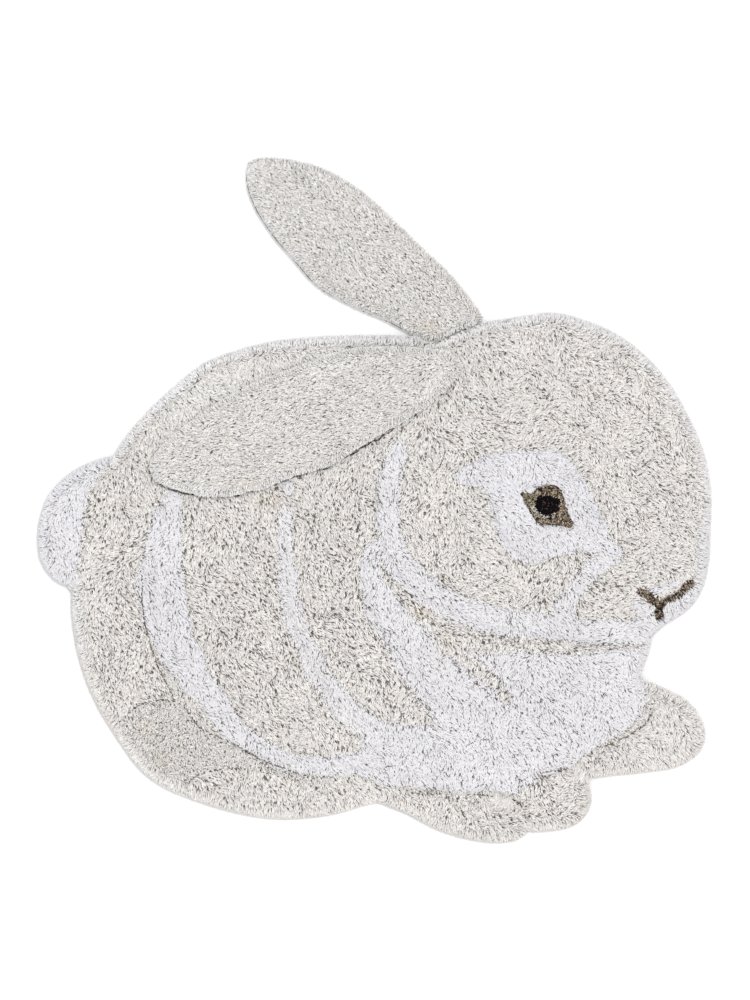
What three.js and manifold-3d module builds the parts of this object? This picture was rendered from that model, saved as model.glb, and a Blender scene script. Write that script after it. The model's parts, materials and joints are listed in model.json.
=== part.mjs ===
// A rabbit-shaped tufted floor rug, lying flat. Millimetres, +Z up, +X towards the nose, +Y towards the ears.
// The origin is under the middle of the whole rug, on the floor.
//
//   body        head, trunk, tail, hind foot and paws: one cloth with its pile, flat underneath
//   ear_raised  the ear that lies clear of the body on the floor, sewn on at its round root
//   ear_lying   the ear laid back on top of the body's pile, sewn on at its root behind the head

import * as THREE from 'three';
import { mergeVertices } from 'three/addons/utils/BufferGeometryUtils.js';
import Module from 'manifold-3d';

const wasm = await Module();
wasm.setup();

// ---------------------------------------------------------------- driving dimensions

const PILE_TOP = 18;          // body: floor to the tips of its pile
const EDGE_ROUND = 8;         // how far the pile rounds over at the outline
const EDGE_STEPS = 3;         // facets across that round
const EAR_TOP = 15;           // raised ear: floor to pile tips, a shorter pile than the body's
const EAR_FLAP = 12;          // lying ear: depth of the flap
const EAR_EDGE = 5;           // how far both ears round over at their edges
const GAP = 0.4;              // clearance between separate pieces
const STEP = 17;              // spacing of the points along an outline
const FINE_STEP = 11;         // the same for paws and ear roots
const GROOVE_SIDES = 10;      // facets round the tool that carves a line
const GROOVE_STEP = 22;       // spacing of the points along a carved line
const SHEARED_FOOT = 4;       // how much lower the hind foot's upper side is sheared
const SHEARED_EYE = 5;        // how much lower the eye is sheared

// ---------------------------------------------------------------- outlines
// The body is the union of these lobes. Each row is one place on a lobe's edge, clockwise.

const HEAD = [
  { at: 'ear root, front', x: 180, y: 286 },
  { at: 'crown', x: 232, y: 294 },
  { at: 'crown, front', x: 290, y: 300 },
  { at: 'forehead', x: 376, y: 272 },
  { at: 'brow', x: 432, y: 233 },
  { at: 'brow, low', x: 471, y: 189 },
  { at: 'bridge', x: 503, y: 134 },
  { at: 'bridge, low', x: 527, y: 78 },
  { at: 'nose, top', x: 539, y: 16 },
  { at: 'nose', x: 538, y: -48 },
  { at: 'lip', x: 535, y: -104 },
  { at: 'lip, low', x: 524, y: -146 },
  { at: 'chin', x: 502, y: -177 },
  { at: 'under chin', x: 470, y: -197 },
  { at: 'throat', x: 442, y: -218 },
  { at: 'neck, inside', x: 360, y: -228 },
  { at: 'neck, inside low', x: 230, y: -220 },
  { at: 'jaw, inside', x: 100, y: -160 },
  { at: 'jaw, inside back', x: 24, y: -64 },
  { at: 'nape, inside', x: -8, y: 64 },
  { at: 'nape, inside top', x: 8, y: 190 },
  { at: 'ear root, rear', x: 56, y: 259 },
  { at: 'ear root, middle', x: 112, y: 280 },
];

const TRUNK = [
  { at: 'nape', x: 56, y: 262 },
  { at: 'shoulder', x: -10, y: 264 },
  { at: 'back, front', x: -88, y: 262 },
  { at: 'back', x: -166, y: 254 },
  { at: 'back, rear', x: -224, y: 239 },
  { at: 'loin', x: -274, y: 220 },
  { at: 'loin, rear', x: -330, y: 175 },
  { at: 'croup', x: -376, y: 130 },
  { at: 'croup, low', x: -410, y: 86 },
  { at: 'under tail, top', x: -440, y: 16 },
  { at: 'under tail', x: -470, y: -72 },
  { at: 'tail notch', x: -485, y: -140 },
  { at: 'rump', x: -485, y: -184 },
  { at: 'rump, low', x: -477, y: -240 },
  { at: 'hock', x: -462, y: -290 },
  { at: 'heel, rear', x: -440, y: -338 },
  { at: 'heel', x: -410, y: -386 },
  { at: 'heel, low', x: -374, y: -434 },
  { at: 'foot, rear', x: -337, y: -461 },
  { at: 'sole, rear', x: -288, y: -481 },
  { at: 'sole', x: -230, y: -499 },
  { at: 'toe, rear', x: -168, y: -510 },
  { at: 'toe', x: -104, y: -509 },
  { at: 'toe, front', x: -54, y: -501 },
  { at: 'dip before paw', x: -12, y: -488 },
  { at: 'belly', x: 30, y: -482 },
  { at: 'belly, front', x: 130, y: -490 },
  { at: 'behind paws', x: 232, y: -480 },
  { at: 'chest, low', x: 326, y: -436 },
  { at: 'chest', x: 392, y: -376 },
  { at: 'chest, front', x: 420, y: -320 },
  { at: 'paw notch', x: 424, y: -289 },
  { at: 'breast', x: 433, y: -262 },
  { at: 'throat', x: 444, y: -222 },
  { at: 'inside head, low', x: 420, y: -96 },
  { at: 'inside head', x: 350, y: 110 },
  { at: 'inside head, top', x: 190, y: 236 },
];

const TAIL = [
  { at: 'root, top', x: -420, y: 68 },
  { at: 'upper edge', x: -450, y: 63 },
  { at: 'upper rear', x: -488, y: 44 },
  { at: 'rear, high', x: -521, y: 12 },
  { at: 'rear', x: -536, y: -26 },
  { at: 'rear, low', x: -540, y: -62 },
  { at: 'tip', x: -534, y: -100 },
  { at: 'tip, low', x: -510, y: -130 },
  { at: 'notch', x: -484, y: -138 },
  { at: 'inside, low', x: -446, y: -120 },
  { at: 'inside', x: -414, y: -60 },
  { at: 'inside, top', x: -400, y: 16 },
];

const PAW_REAR = [
  { at: 'wrist', x: 8, y: -480 },
  { at: 'wrist, low', x: 56, y: -504 },
  { at: 'sole, rear', x: 102, y: -528 },
  { at: 'sole', x: 150, y: -543 },
  { at: 'toe', x: 200, y: -549 },
  { at: 'toe, front', x: 231, y: -544 },
  { at: 'toe notch', x: 245, y: -530 },
  { at: 'front', x: 242, y: -504 },
  { at: 'top, front', x: 218, y: -474 },
  { at: 'top', x: 150, y: -462 },
  { at: 'top, rear', x: 50, y: -456 },
];

const PAW_MIDDLE = [
  { at: 'toe notch', x: 246, y: -529 },
  { at: 'sole', x: 282, y: -530 },
  { at: 'toe, low', x: 320, y: -522 },
  { at: 'toe', x: 342, y: -500 },
  { at: 'toe, top', x: 347, y: -472 },
  { at: 'top notch', x: 336, y: -446 },
  { at: 'top', x: 296, y: -434 },
  { at: 'top, rear', x: 256, y: -440 },
  { at: 'inside', x: 226, y: -464 },
  { at: 'inside, low', x: 222, y: -504 },
];

const PAW_FRONT = [
  { at: 'notch, low', x: 336, y: -443 },
  { at: 'sole', x: 392, y: -440 },
  { at: 'sole, front', x: 442, y: -435 },
  { at: 'toe, low', x: 490, y: -426 },
  { at: 'toe', x: 522, y: -403 },
  { at: 'toe, front', x: 530, y: -374 },
  { at: 'toe, top', x: 522, y: -348 },
  { at: 'instep', x: 502, y: -323 },
  { at: 'instep, rear', x: 470, y: -305 },
  { at: 'notch, top', x: 424, y: -290 },
  { at: 'inside, top', x: 384, y: -320 },
  { at: 'inside', x: 328, y: -384 },
  { at: 'inside, low', x: 312, y: -424 },
];

const EAR_RAISED = [
  { at: 'tip', x: -201, y: 543.5 },
  { at: 'tip, top', x: -156, y: 548.5 },
  { at: 'upper edge 1', x: -88, y: 534 },
  { at: 'upper edge 2', x: -26, y: 500 },
  { at: 'upper edge 3', x: 20, y: 460 },
  { at: 'upper edge 4', x: 72, y: 409 },
  { at: 'upper edge 5', x: 121, y: 363 },
  { at: 'cheek of root', x: 163, y: 310 },
  { at: 'root, front', x: 176, y: 287 },
  { at: 'root 1', x: 152, y: 276 },
  { at: 'root 2', x: 127, y: 267 },
  { at: 'root 3', x: 106, y: 256 },
  { at: 'root 4', x: 84, y: 254 },
  { at: 'root, rear', x: 62, y: 265 },
  { at: 'lower edge 1', x: 24, y: 286 },
  { at: 'lower edge 2', x: -26, y: 307 },
  { at: 'lower edge 3', x: -88, y: 341 },
  { at: 'lower edge 4', x: -128, y: 384 },
  { at: 'lower edge 5', x: -168, y: 432 },
  { at: 'lower edge 6', x: -196, y: 480 },
  { at: 'tip, low', x: -205, y: 516 },
];

const EAR_LYING = [
  { at: 'tip', x: -362, y: 52 },
  { at: 'tip, low', x: -350, y: 31 },
  { at: 'lower edge 1', x: -322, y: 17 },
  { at: 'lower edge 2', x: -278, y: 8 },
  { at: 'lower edge 3', x: -228, y: 8 },
  { at: 'lower edge 4', x: -176, y: 20 },
  { at: 'lower edge 5', x: -126, y: 40 },
  { at: 'lower edge 6', x: -72, y: 56 },
  { at: 'lower edge 7', x: -16, y: 88 },
  { at: 'lower edge 8', x: 34, y: 118 },
  { at: 'lower edge 9', x: 86, y: 153 },
  { at: 'root, low', x: 126, y: 190 },
  { at: 'root', x: 140, y: 216 },
  { at: 'root, top', x: 118, y: 236 },
  { at: 'upper edge 1', x: 70, y: 243 },
  { at: 'upper edge 2', x: 10, y: 245 },
  { at: 'upper edge 3', x: -56, y: 238 },
  { at: 'upper edge 4', x: -100, y: 222 },
  { at: 'upper edge 5', x: -152, y: 203 },
  { at: 'upper edge 6', x: -212, y: 178 },
  { at: 'upper edge 7', x: -272, y: 142 },
  { at: 'upper edge 8', x: -326, y: 100 },
  { at: 'tip, top', x: -354, y: 70 },
];

// ---------------------------------------------------------------- carved lines in the body's pile
// width and depth are those of the soft trough; it fades out at both ends.

const CARVED = [
  { name: 'tail', width: 16, depth: 4, line: [
    { x: -416, y: 58 }, { x: -440, y: 24 }, { x: -453, y: -16 }, { x: -464, y: -64 }, { x: -474, y: -116 }] },
  { name: 'haunch', width: 18, depth: 5, line: [
    { x: -350, y: -20 }, { x: -362, y: -96 }, { x: -358, y: -192 }, { x: -338, y: -272 },
    { x: -298, y: -332 }, { x: -250, y: -386 }, { x: -170, y: -424 }, { x: -60, y: -432 }] },
  { name: 'flank', width: 14, depth: 4, line: [
    { x: -146, y: -10 }, { x: -149, y: -80 }, { x: -143, y: -150 }, { x: -124, y: -222 },
    { x: -88, y: -292 }, { x: -40, y: -344 }] },
  { name: 'shoulder', width: 14, depth: 4, line: [
    { x: -20, y: -84 }, { x: -20, y: -146 }, { x: 6, y: -208 }, { x: 46, y: -268 },
    { x: 102, y: -334 }, { x: 158, y: -374 }] },
  { name: 'jaw', width: 16, depth: 5, line: [
    { x: 6, y: 66 }, { x: -4, y: 10 }, { x: 3, y: -50 }, { x: 22, y: -104 }, { x: 62, y: -150 },
    { x: 116, y: -184 }, { x: 192, y: -210 }, { x: 272, y: -222 }, { x: 352, y: -234 }, { x: 420, y: -234 }] },
  { name: 'cheek', width: 14, depth: 4, line: [
    { x: 132, y: 24 }, { x: 174, y: 8 }, { x: 192, y: -38 }, { x: 220, y: -82 }, { x: 272, y: -109 }, { x: 340, y: -104 }] },
  { name: 'rear paw', width: 12, depth: 6, line: [
    { x: 4, y: -462 }, { x: 60, y: -466 }, { x: 134, y: -473 }, { x: 198, y: -473 }, { x: 234, y: -492 }, { x: 245, y: -530 }] },
  { name: 'middle paw', width: 12, depth: 6, line: [
    { x: 230, y: -470 }, { x: 246, y: -448 }, { x: 272, y: -437 }, { x: 300, y: -434 }, { x: 330, y: -444 }] },
  { name: 'front paw', width: 14, depth: 6, line: [
    { x: 444, y: -300 }, { x: 440, y: -336 }, { x: 400, y: -380 }, { x: 364, y: -397 }, { x: 344, y: -420 }, { x: 326, y: -440 }] },
];

// ---------------------------------------------------------------- places sheared shorter than the rest

const FOOT_ZONE = [
  { at: 'heel, outside', x: -440, y: -372 },
  { at: 'ankle, rear', x: -392, y: -338 },
  { at: 'ankle', x: -336, y: -322 },
  { at: 'ankle, front', x: -300, y: -334 },
  { at: 'instep', x: -270, y: -370 },
  { at: 'instep, front', x: -214, y: -400 },
  { at: 'toes', x: -196, y: -424 },
  { at: 'toes, low', x: -230, y: -452 },
  { at: 'sole', x: -300, y: -470 },
  { at: 'heel, low', x: -380, y: -460 },
];

const EYE = [
  { at: 'rear corner', x: 232, y: 12 },
  { at: 'upper lid, rear', x: 254, y: 21 },
  { at: 'upper lid', x: 280, y: 23 },
  { at: 'upper lid, front', x: 299, y: 15 },
  { at: 'front', x: 307, y: -6 },
  { at: 'front, low', x: 311, y: -30 },
  { at: 'front corner', x: 314, y: -43 },
  { at: 'lower lid, front', x: 298, y: -42 },
  { at: 'lower lid', x: 272, y: -40 },
  { at: 'lower lid, rear', x: 248, y: -22 },
];

// ---------------------------------------------------------------- tools

// A closed smooth outline through the rows of a table, resampled at even steps.
function outline(rows, step) {
  const curve = new THREE.CatmullRomCurve3(rows.map((r) => new THREE.Vector3(r.x, r.y, 0)), true, 'centripetal');
  curve.arcLengthDivisions = 40 * rows.length;
  const count = Math.round(curve.getLength() / step);
  return curve.getSpacedPoints(count).slice(0, -1).map((p) => new THREE.Vector2(p.x, p.y));
}

function toSolid(geometry) {
  const g = geometry.clone();
  g.deleteAttribute('normal');
  g.deleteAttribute('uv');
  const merged = mergeVertices(g, 1e-4);
  return new wasm.Manifold(new wasm.Mesh({
    numProp: 3,
    vertProperties: new Float32Array(merged.attributes.position.array),
    triVerts: new Uint32Array(merged.index.array),
  }));
}

function toGeometry(solid) {
  const mesh = solid.getMesh();
  const g = new THREE.BufferGeometry();
  g.setAttribute('position', new THREE.BufferAttribute(new Float32Array(mesh.vertProperties), 3));
  g.setIndex(new THREE.BufferAttribute(new Uint32Array(mesh.triVerts), 1));
  g.computeVertexNormals();
  return g;
}

// Straight-sided prism of an outline between two heights.
function prism(points, low, high) {
  const g = new THREE.ExtrudeGeometry(new THREE.Shape(points), { depth: high - low, bevelEnabled: false, curveSegments: 1 });
  g.translate(0, 0, low);
  return toSolid(g);
}

// A cloth of one outline: flat underneath at `low`, its pile rounded over at the top edge.
function cloth(points, low, high, round) {
  const g = new THREE.ExtrudeGeometry(new THREE.Shape(points), {
    depth: high - low,            // the lower bevel is cut off below
    bevelEnabled: true,
    bevelThickness: round,
    bevelSize: round,
    bevelOffset: -round,
    bevelSegments: EDGE_STEPS,
    curveSegments: 1,
  });
  g.translate(0, 0, low - round);
  const wide = new THREE.BoxGeometry(3000, 3000, 3 * round);
  wide.translate(0, 0, low - 1.5 * round);
  return toSolid(g).subtract(toSolid(wide));
}

// A soft trough: a round bar laid along the line, its axis lifting at both ends so the trough fades out.
function trough({ width, depth, line }, top) {
  const radius = (width * width / 4 + depth * depth) / (2 * depth);
  const last = line.length - 1;
  const curve = new THREE.CatmullRomCurve3(
    line.map((r, i) => new THREE.Vector3(r.x, r.y, top + radius - (i === 0 || i === last ? 0.3 : depth))), false, 'centripetal');
  const steps = Math.max(6, Math.round(curve.getLength() / GROOVE_STEP));
  const section = new THREE.Shape();
  for (let i = 0; i < GROOVE_SIDES; i++) {
    const a = (2 * Math.PI * (i + 0.5)) / GROOVE_SIDES;
    if (i === 0) section.moveTo(radius * Math.cos(a), radius * Math.sin(a));
    else section.lineTo(radius * Math.cos(a), radius * Math.sin(a));
  }
  section.closePath();
  return toSolid(new THREE.ExtrudeGeometry(section, { steps, extrudePath: curve, bevelEnabled: false, curveSegments: 1 }));
}

// ---------------------------------------------------------------- pieces

const earRaisedLine = outline(EAR_RAISED, FINE_STEP * 1.3);

function makeBody() {
  let solid = cloth(outline(TRUNK, STEP), 0, PILE_TOP, EDGE_ROUND)
    .add(cloth(outline(HEAD, STEP), 0, PILE_TOP, EDGE_ROUND));
  for (const lobe of [TAIL, PAW_REAR, PAW_MIDDLE, PAW_FRONT]) {
    solid = solid.add(cloth(outline(lobe, FINE_STEP), 0, PILE_TOP, EDGE_ROUND));
  }
  // the seat of the raised ear's root, a little larger than the root itself
  const grown = earRaisedLine.map((p, i, all) => {
    const before = all[(i + all.length - 1) % all.length];
    const after = all[(i + 1) % all.length];
    const along = after.clone().sub(before).normalize();
    return new THREE.Vector2(p.x - along.y * GAP, p.y + along.x * GAP);
  });
  solid = solid.subtract(prism(grown, -5, PILE_TOP + 5));
  for (const row of CARVED) solid = solid.subtract(trough(row, PILE_TOP));
  solid = solid.subtract(prism(outline(FOOT_ZONE, STEP), PILE_TOP - SHEARED_FOOT, PILE_TOP + 5));
  solid = solid.subtract(prism(outline(EYE, 9), PILE_TOP - SHEARED_EYE, PILE_TOP + 5));
  return solid;
}

function makeEarRaised() {
  return cloth(earRaisedLine, 0, EAR_TOP, EAR_EDGE);
}

function makeEarLying() {
  return cloth(outline(EAR_LYING, FINE_STEP * 1.3), PILE_TOP + GAP, PILE_TOP + GAP + EAR_FLAP, EAR_EDGE);
}

// ---------------------------------------------------------------- scene graph

const BEIGE = new THREE.Color('#d9d4cc');

function piece(name, solid) {
  const material = new THREE.MeshStandardMaterial({ color: BEIGE.clone(), roughness: 0.95, metalness: 0 });
  const mesh = new THREE.Mesh(toGeometry(solid), material);
  mesh.name = name;
  return mesh;
}

const group = new THREE.Group();
group.add(piece('body', makeBody()));
group.add(piece('ear_raised', makeEarRaised()));
group.add(piece('ear_lying', makeEarLying()));

export default group;
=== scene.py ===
# A rabbit-shaped tufted floor rug, lying flat, in the same frame as its CAD model: metres, +Z up, +X towards the nose.
# Every cloth of the rug is a thin base sheet with a pile of single closed strands growing out of it:
#   base_*   the cloth under the pile, one per CAD solid, which it stands for
#   pile_*   the strands, by region of the rug and colour of the yarn
#   eye_*, mouth   short dark yarn
# The tables below are in millimetres, in plan, with the origin under the middle of the rug.

import json
import math

import bpy
import numpy as np
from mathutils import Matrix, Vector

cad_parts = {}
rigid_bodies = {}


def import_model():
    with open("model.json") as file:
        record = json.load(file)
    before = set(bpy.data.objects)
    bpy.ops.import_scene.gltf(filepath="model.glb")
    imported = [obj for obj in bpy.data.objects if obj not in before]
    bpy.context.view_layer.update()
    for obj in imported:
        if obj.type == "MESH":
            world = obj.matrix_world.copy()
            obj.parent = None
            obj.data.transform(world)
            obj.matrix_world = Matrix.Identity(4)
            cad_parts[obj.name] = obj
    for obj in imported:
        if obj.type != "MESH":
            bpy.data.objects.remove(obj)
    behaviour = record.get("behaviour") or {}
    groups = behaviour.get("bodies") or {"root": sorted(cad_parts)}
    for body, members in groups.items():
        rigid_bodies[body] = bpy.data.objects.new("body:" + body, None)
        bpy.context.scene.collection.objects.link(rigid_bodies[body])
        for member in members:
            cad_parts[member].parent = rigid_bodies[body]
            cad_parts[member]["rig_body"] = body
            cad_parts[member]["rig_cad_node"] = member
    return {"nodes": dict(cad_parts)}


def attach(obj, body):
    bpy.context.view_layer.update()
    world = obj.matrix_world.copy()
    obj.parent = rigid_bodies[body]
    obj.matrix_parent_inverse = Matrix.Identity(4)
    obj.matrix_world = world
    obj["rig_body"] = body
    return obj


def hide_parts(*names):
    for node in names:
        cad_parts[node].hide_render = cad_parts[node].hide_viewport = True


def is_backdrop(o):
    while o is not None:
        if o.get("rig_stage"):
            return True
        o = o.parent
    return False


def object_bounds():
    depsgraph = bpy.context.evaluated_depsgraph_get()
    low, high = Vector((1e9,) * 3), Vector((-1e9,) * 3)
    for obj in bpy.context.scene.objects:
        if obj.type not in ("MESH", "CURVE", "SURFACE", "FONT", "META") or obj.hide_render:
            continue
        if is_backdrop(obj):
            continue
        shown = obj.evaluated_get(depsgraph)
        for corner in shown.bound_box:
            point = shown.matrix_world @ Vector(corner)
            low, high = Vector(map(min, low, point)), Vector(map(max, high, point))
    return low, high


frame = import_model()
cad_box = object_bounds()

MM = 0.001

# ---------------------------------------------------------------- markings of the coat, white on beige
# A band is a soft line with a width; a patch is a smooth closed outline.

BANDS = {
    "haunch": [
        dict(at="top", x=-318, y=14, width=24),
        dict(at="high", x=-335, y=-46, width=50),
        dict(at="upper middle", x=-340, y=-96, width=66),
        dict(at="middle", x=-341, y=-150, width=76),
        dict(at="low", x=-326, y=-215, width=68),
        dict(at="thigh", x=-298, y=-272, width=55),
        dict(at="knee", x=-259, y=-323, width=40),
        dict(at="shin", x=-218, y=-372, width=34),
        dict(at="ankle", x=-165, y=-409, width=30),
        dict(at="toes", x=-104, y=-427, width=29),
        dict(at="end", x=-24, y=-424, width=34),
    ],
    "flank": [
        dict(at="top", x=-140, y=20, width=18),
        dict(at="high", x=-144, y=-64, width=25),
        dict(at="middle", x=-138, y=-144, width=31),
        dict(at="low", x=-120, y=-216, width=34),
        dict(at="belly", x=-84, y=-288, width=36),
        dict(at="belly, low", x=-43, y=-339, width=40),
        dict(at="end", x=-4, y=-366, width=38),
    ],
    "shoulder": [
        dict(at="top", x=-5, y=-74, width=22),
        dict(at="high", x=-6, y=-128, width=38),
        dict(at="middle", x=20, y=-184, width=60),
        dict(at="low", x=48, y=-222, width=69),
        dict(at="lower", x=74, y=-258, width=83),
        dict(at="breast", x=110, y=-300, width=94),
        dict(at="end", x=155, y=-345, width=103),
    ],
    "jaw": [
        dict(at="behind the ear", x=36, y=78, width=30),
        dict(at="nape", x=21, y=16, width=35),
        dict(at="neck", x=24, y=-64, width=43),
        dict(at="cheek, rear", x=43, y=-107, width=46),
        dict(at="jaw, rear", x=88, y=-147, width=47),
        dict(at="jaw", x=120, y=-168, width=46),
        dict(at="jaw, front", x=192, y=-194, width=43),
        dict(at="throat", x=272, y=-203, width=40),
        dict(at="throat, front", x=352, y=-211, width=39),
        dict(at="end", x=446, y=-211, width=38),
    ],
    "cheek": [
        dict(at="eye", x=378, y=-92, width=31),
        dict(at="high", x=346, y=-116, width=32),
        dict(at="middle", x=323, y=-143, width=31),
        dict(at="low", x=305, y=-175, width=31),
        dict(at="jaw", x=304, y=-205, width=36),
    ],
}

PATCHES = {
    "tail": [
        dict(at="root, top", x=-421, y=66),
        dict(at="root, high", x=-445, y=32),
        dict(at="root", x=-462, y=0),
        dict(at="root, low", x=-469, y=-48),
        dict(at="root, lower", x=-474, y=-88),
        dict(at="notch", x=-483, y=-132),
        dict(at="outside, low", x=-552, y=-150),
        dict(at="outside", x=-568, y=-30),
        dict(at="outside, high", x=-536, y=80),
        dict(at="outside, top", x=-440, y=90),
    ],
    "eye": [
        dict(at="rear corner", x=128, y=40),
        dict(at="upper, rear", x=171, y=69),
        dict(at="upper", x=232, y=80),
        dict(at="upper, front", x=296, y=77),
        dict(at="front", x=328, y=48),
        dict(at="front, middle", x=344, y=13),
        dict(at="front, low", x=365, y=-35),
        dict(at="front, lower", x=379, y=-64),
        dict(at="front corner", x=400, y=-88),
        dict(at="lower, front", x=342, y=-84),
        dict(at="lower, middle", x=300, y=-89),
        dict(at="lower", x=252, y=-104),
        dict(at="lower, rear", x=218, y=-92),
        dict(at="rear, low", x=196, y=-55),
        dict(at="rear", x=189, y=-16),
        dict(at="rear, high", x=176, y=16),
        dict(at="rear corner, low", x=136, y=24),
    ],
    "chest": [
        dict(at="neck, rear", x=142, y=-244),
        dict(at="neck, high", x=176, y=-249),
        dict(at="neck", x=232, y=-244),
        dict(at="neck, middle", x=328, y=-247),
        dict(at="neck, front", x=436, y=-240),
        dict(at="breast, front", x=424, y=-272),
        dict(at="breast, low", x=430, y=-300),
        dict(at="paw", x=430, y=-336),
        dict(at="paw, rear", x=392, y=-376),
        dict(at="front, low", x=352, y=-397),
        dict(at="middle paw", x=320, y=-424),
        dict(at="between paws", x=264, y=-446),
        dict(at="rear paw, front", x=226, y=-468),
        dict(at="rear paw", x=152, y=-470),
        dict(at="rear paw, rear", x=72, y=-463),
        dict(at="belly", x=10, y=-458),
        dict(at="belly, rear", x=-30, y=-436),
        dict(at="belly, high", x=-22, y=-400),
        dict(at="belly, top", x=-8, y=-360),
        dict(at="under shoulder", x=56, y=-363),
        dict(at="under shoulder, front", x=104, y=-360),
        dict(at="breast, rear", x=150, y=-342),
        dict(at="breast, tip", x=213, y=-328),
        dict(at="breast, side", x=213, y=-307),
        dict(at="breast, high", x=199, y=-288),
        dict(at="breast, top", x=172, y=-262),
    ],
    "chin": [
        dict(at="rear", x=440, y=-176),
        dict(at="top", x=462, y=-166),
        dict(at="front", x=500, y=-146),
        dict(at="lip", x=528, y=-134),
        dict(at="outside", x=548, y=-150),
        dict(at="outside, low", x=512, y=-216),
        dict(at="low", x=440, y=-236),
        dict(at="low, rear", x=428, y=-206),
    ],
    "nose": [
        dict(at="top", x=524, y=-40),
        dict(at="outside", x=552, y=-44),
        dict(at="outside, low", x=552, y=-150),
        dict(at="low", x=520, y=-146),
        dict(at="middle", x=514, y=-96),
    ],
    "between lips": [
        dict(at="rear", x=437, y=-141),
        dict(at="top", x=462, y=-136),
        dict(at="front", x=492, y=-128),
        dict(at="low", x=458, y=-154),
    ],
    "lip corner": [
        dict(at="top", x=418, y=-150),
        dict(at="front", x=440, y=-168),
        dict(at="low", x=444, y=-192),
        dict(at="low, rear", x=422, y=-190),
        dict(at="rear", x=412, y=-168),
    ],
}

HOW_WHITE = {
    "haunch band": 0.92, "flank band": 0.72, "shoulder band": 0.85, "jaw band": 0.88, "cheek band": 0.84,
    "tail": 1.0, "eye": 1.0, "chest": 0.88, "chin": 0.85, "nose": 0.75, "between lips": 0.85, "lip corner": 0.75,
}

# ---------------------------------------------------------------- short pile

SHORT_FOOT = [
    dict(at="ankle, rear", x=-394, y=-340),
    dict(at="ankle", x=-350, y=-321),
    dict(at="ankle, front", x=-311, y=-328),
    dict(at="instep", x=-278, y=-366),
    dict(at="instep, front", x=-225, y=-391),
    dict(at="toes", x=-172, y=-422),
    dict(at="toes, front", x=-110, y=-444),
    dict(at="tip", x=-62, y=-456),
    dict(at="sole, front", x=-120, y=-452),
    dict(at="sole", x=-184, y=-435),
    dict(at="sole, middle", x=-244, y=-432),
    dict(at="sole, rear", x=-284, y=-442),
    dict(at="heel, front", x=-306, y=-466),
    dict(at="heel, low", x=-352, y=-447),
    dict(at="heel", x=-392, y=-412),
    dict(at="heel, high", x=-408, y=-374),
]

EYE = [
    dict(at="rear corner", x=233, y=11),
    dict(at="rear lid, top", x=245, y=11),
    dict(at="notch over the lid", x=254, y=10),
    dict(at="upper lid, rear", x=262, y=19),
    dict(at="upper lid", x=280, y=24),
    dict(at="upper lid, front", x=297, y=18),
    dict(at="front", x=304, y=-2),
    dict(at="front, low", x=308, y=-20),
    dict(at="front corner, high", x=316, y=-35),
    dict(at="front corner", x=313, y=-45),
    dict(at="lower lid, front", x=297, y=-41),
    dict(at="lower lid", x=276, y=-40),
    dict(at="lower lid, rear", x=260, y=-37),
    dict(at="rear lid, low", x=249, y=-19),
    dict(at="rear lid", x=238, y=0),
]

PUPIL = dict(x=275.8, y=-8.4, across=43.0, up=32.0)

MOUTH = {
    "rear arm": [dict(at="corner", x=427, y=-147, width=12.5), dict(at="middle", x=453, y=-167, width=11)],
    "front arm": [dict(at="corner", x=506, y=-132, width=9), dict(at="bend", x=484, y=-152, width=6.5),
                  dict(at="middle", x=453, y=-167, width=7)],
    "stem": [dict(at="top", x=455, y=-167, width=10), dict(at="middle", x=455, y=-177, width=10), dict(at="end", x=454, y=-184, width=13)],
}

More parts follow.
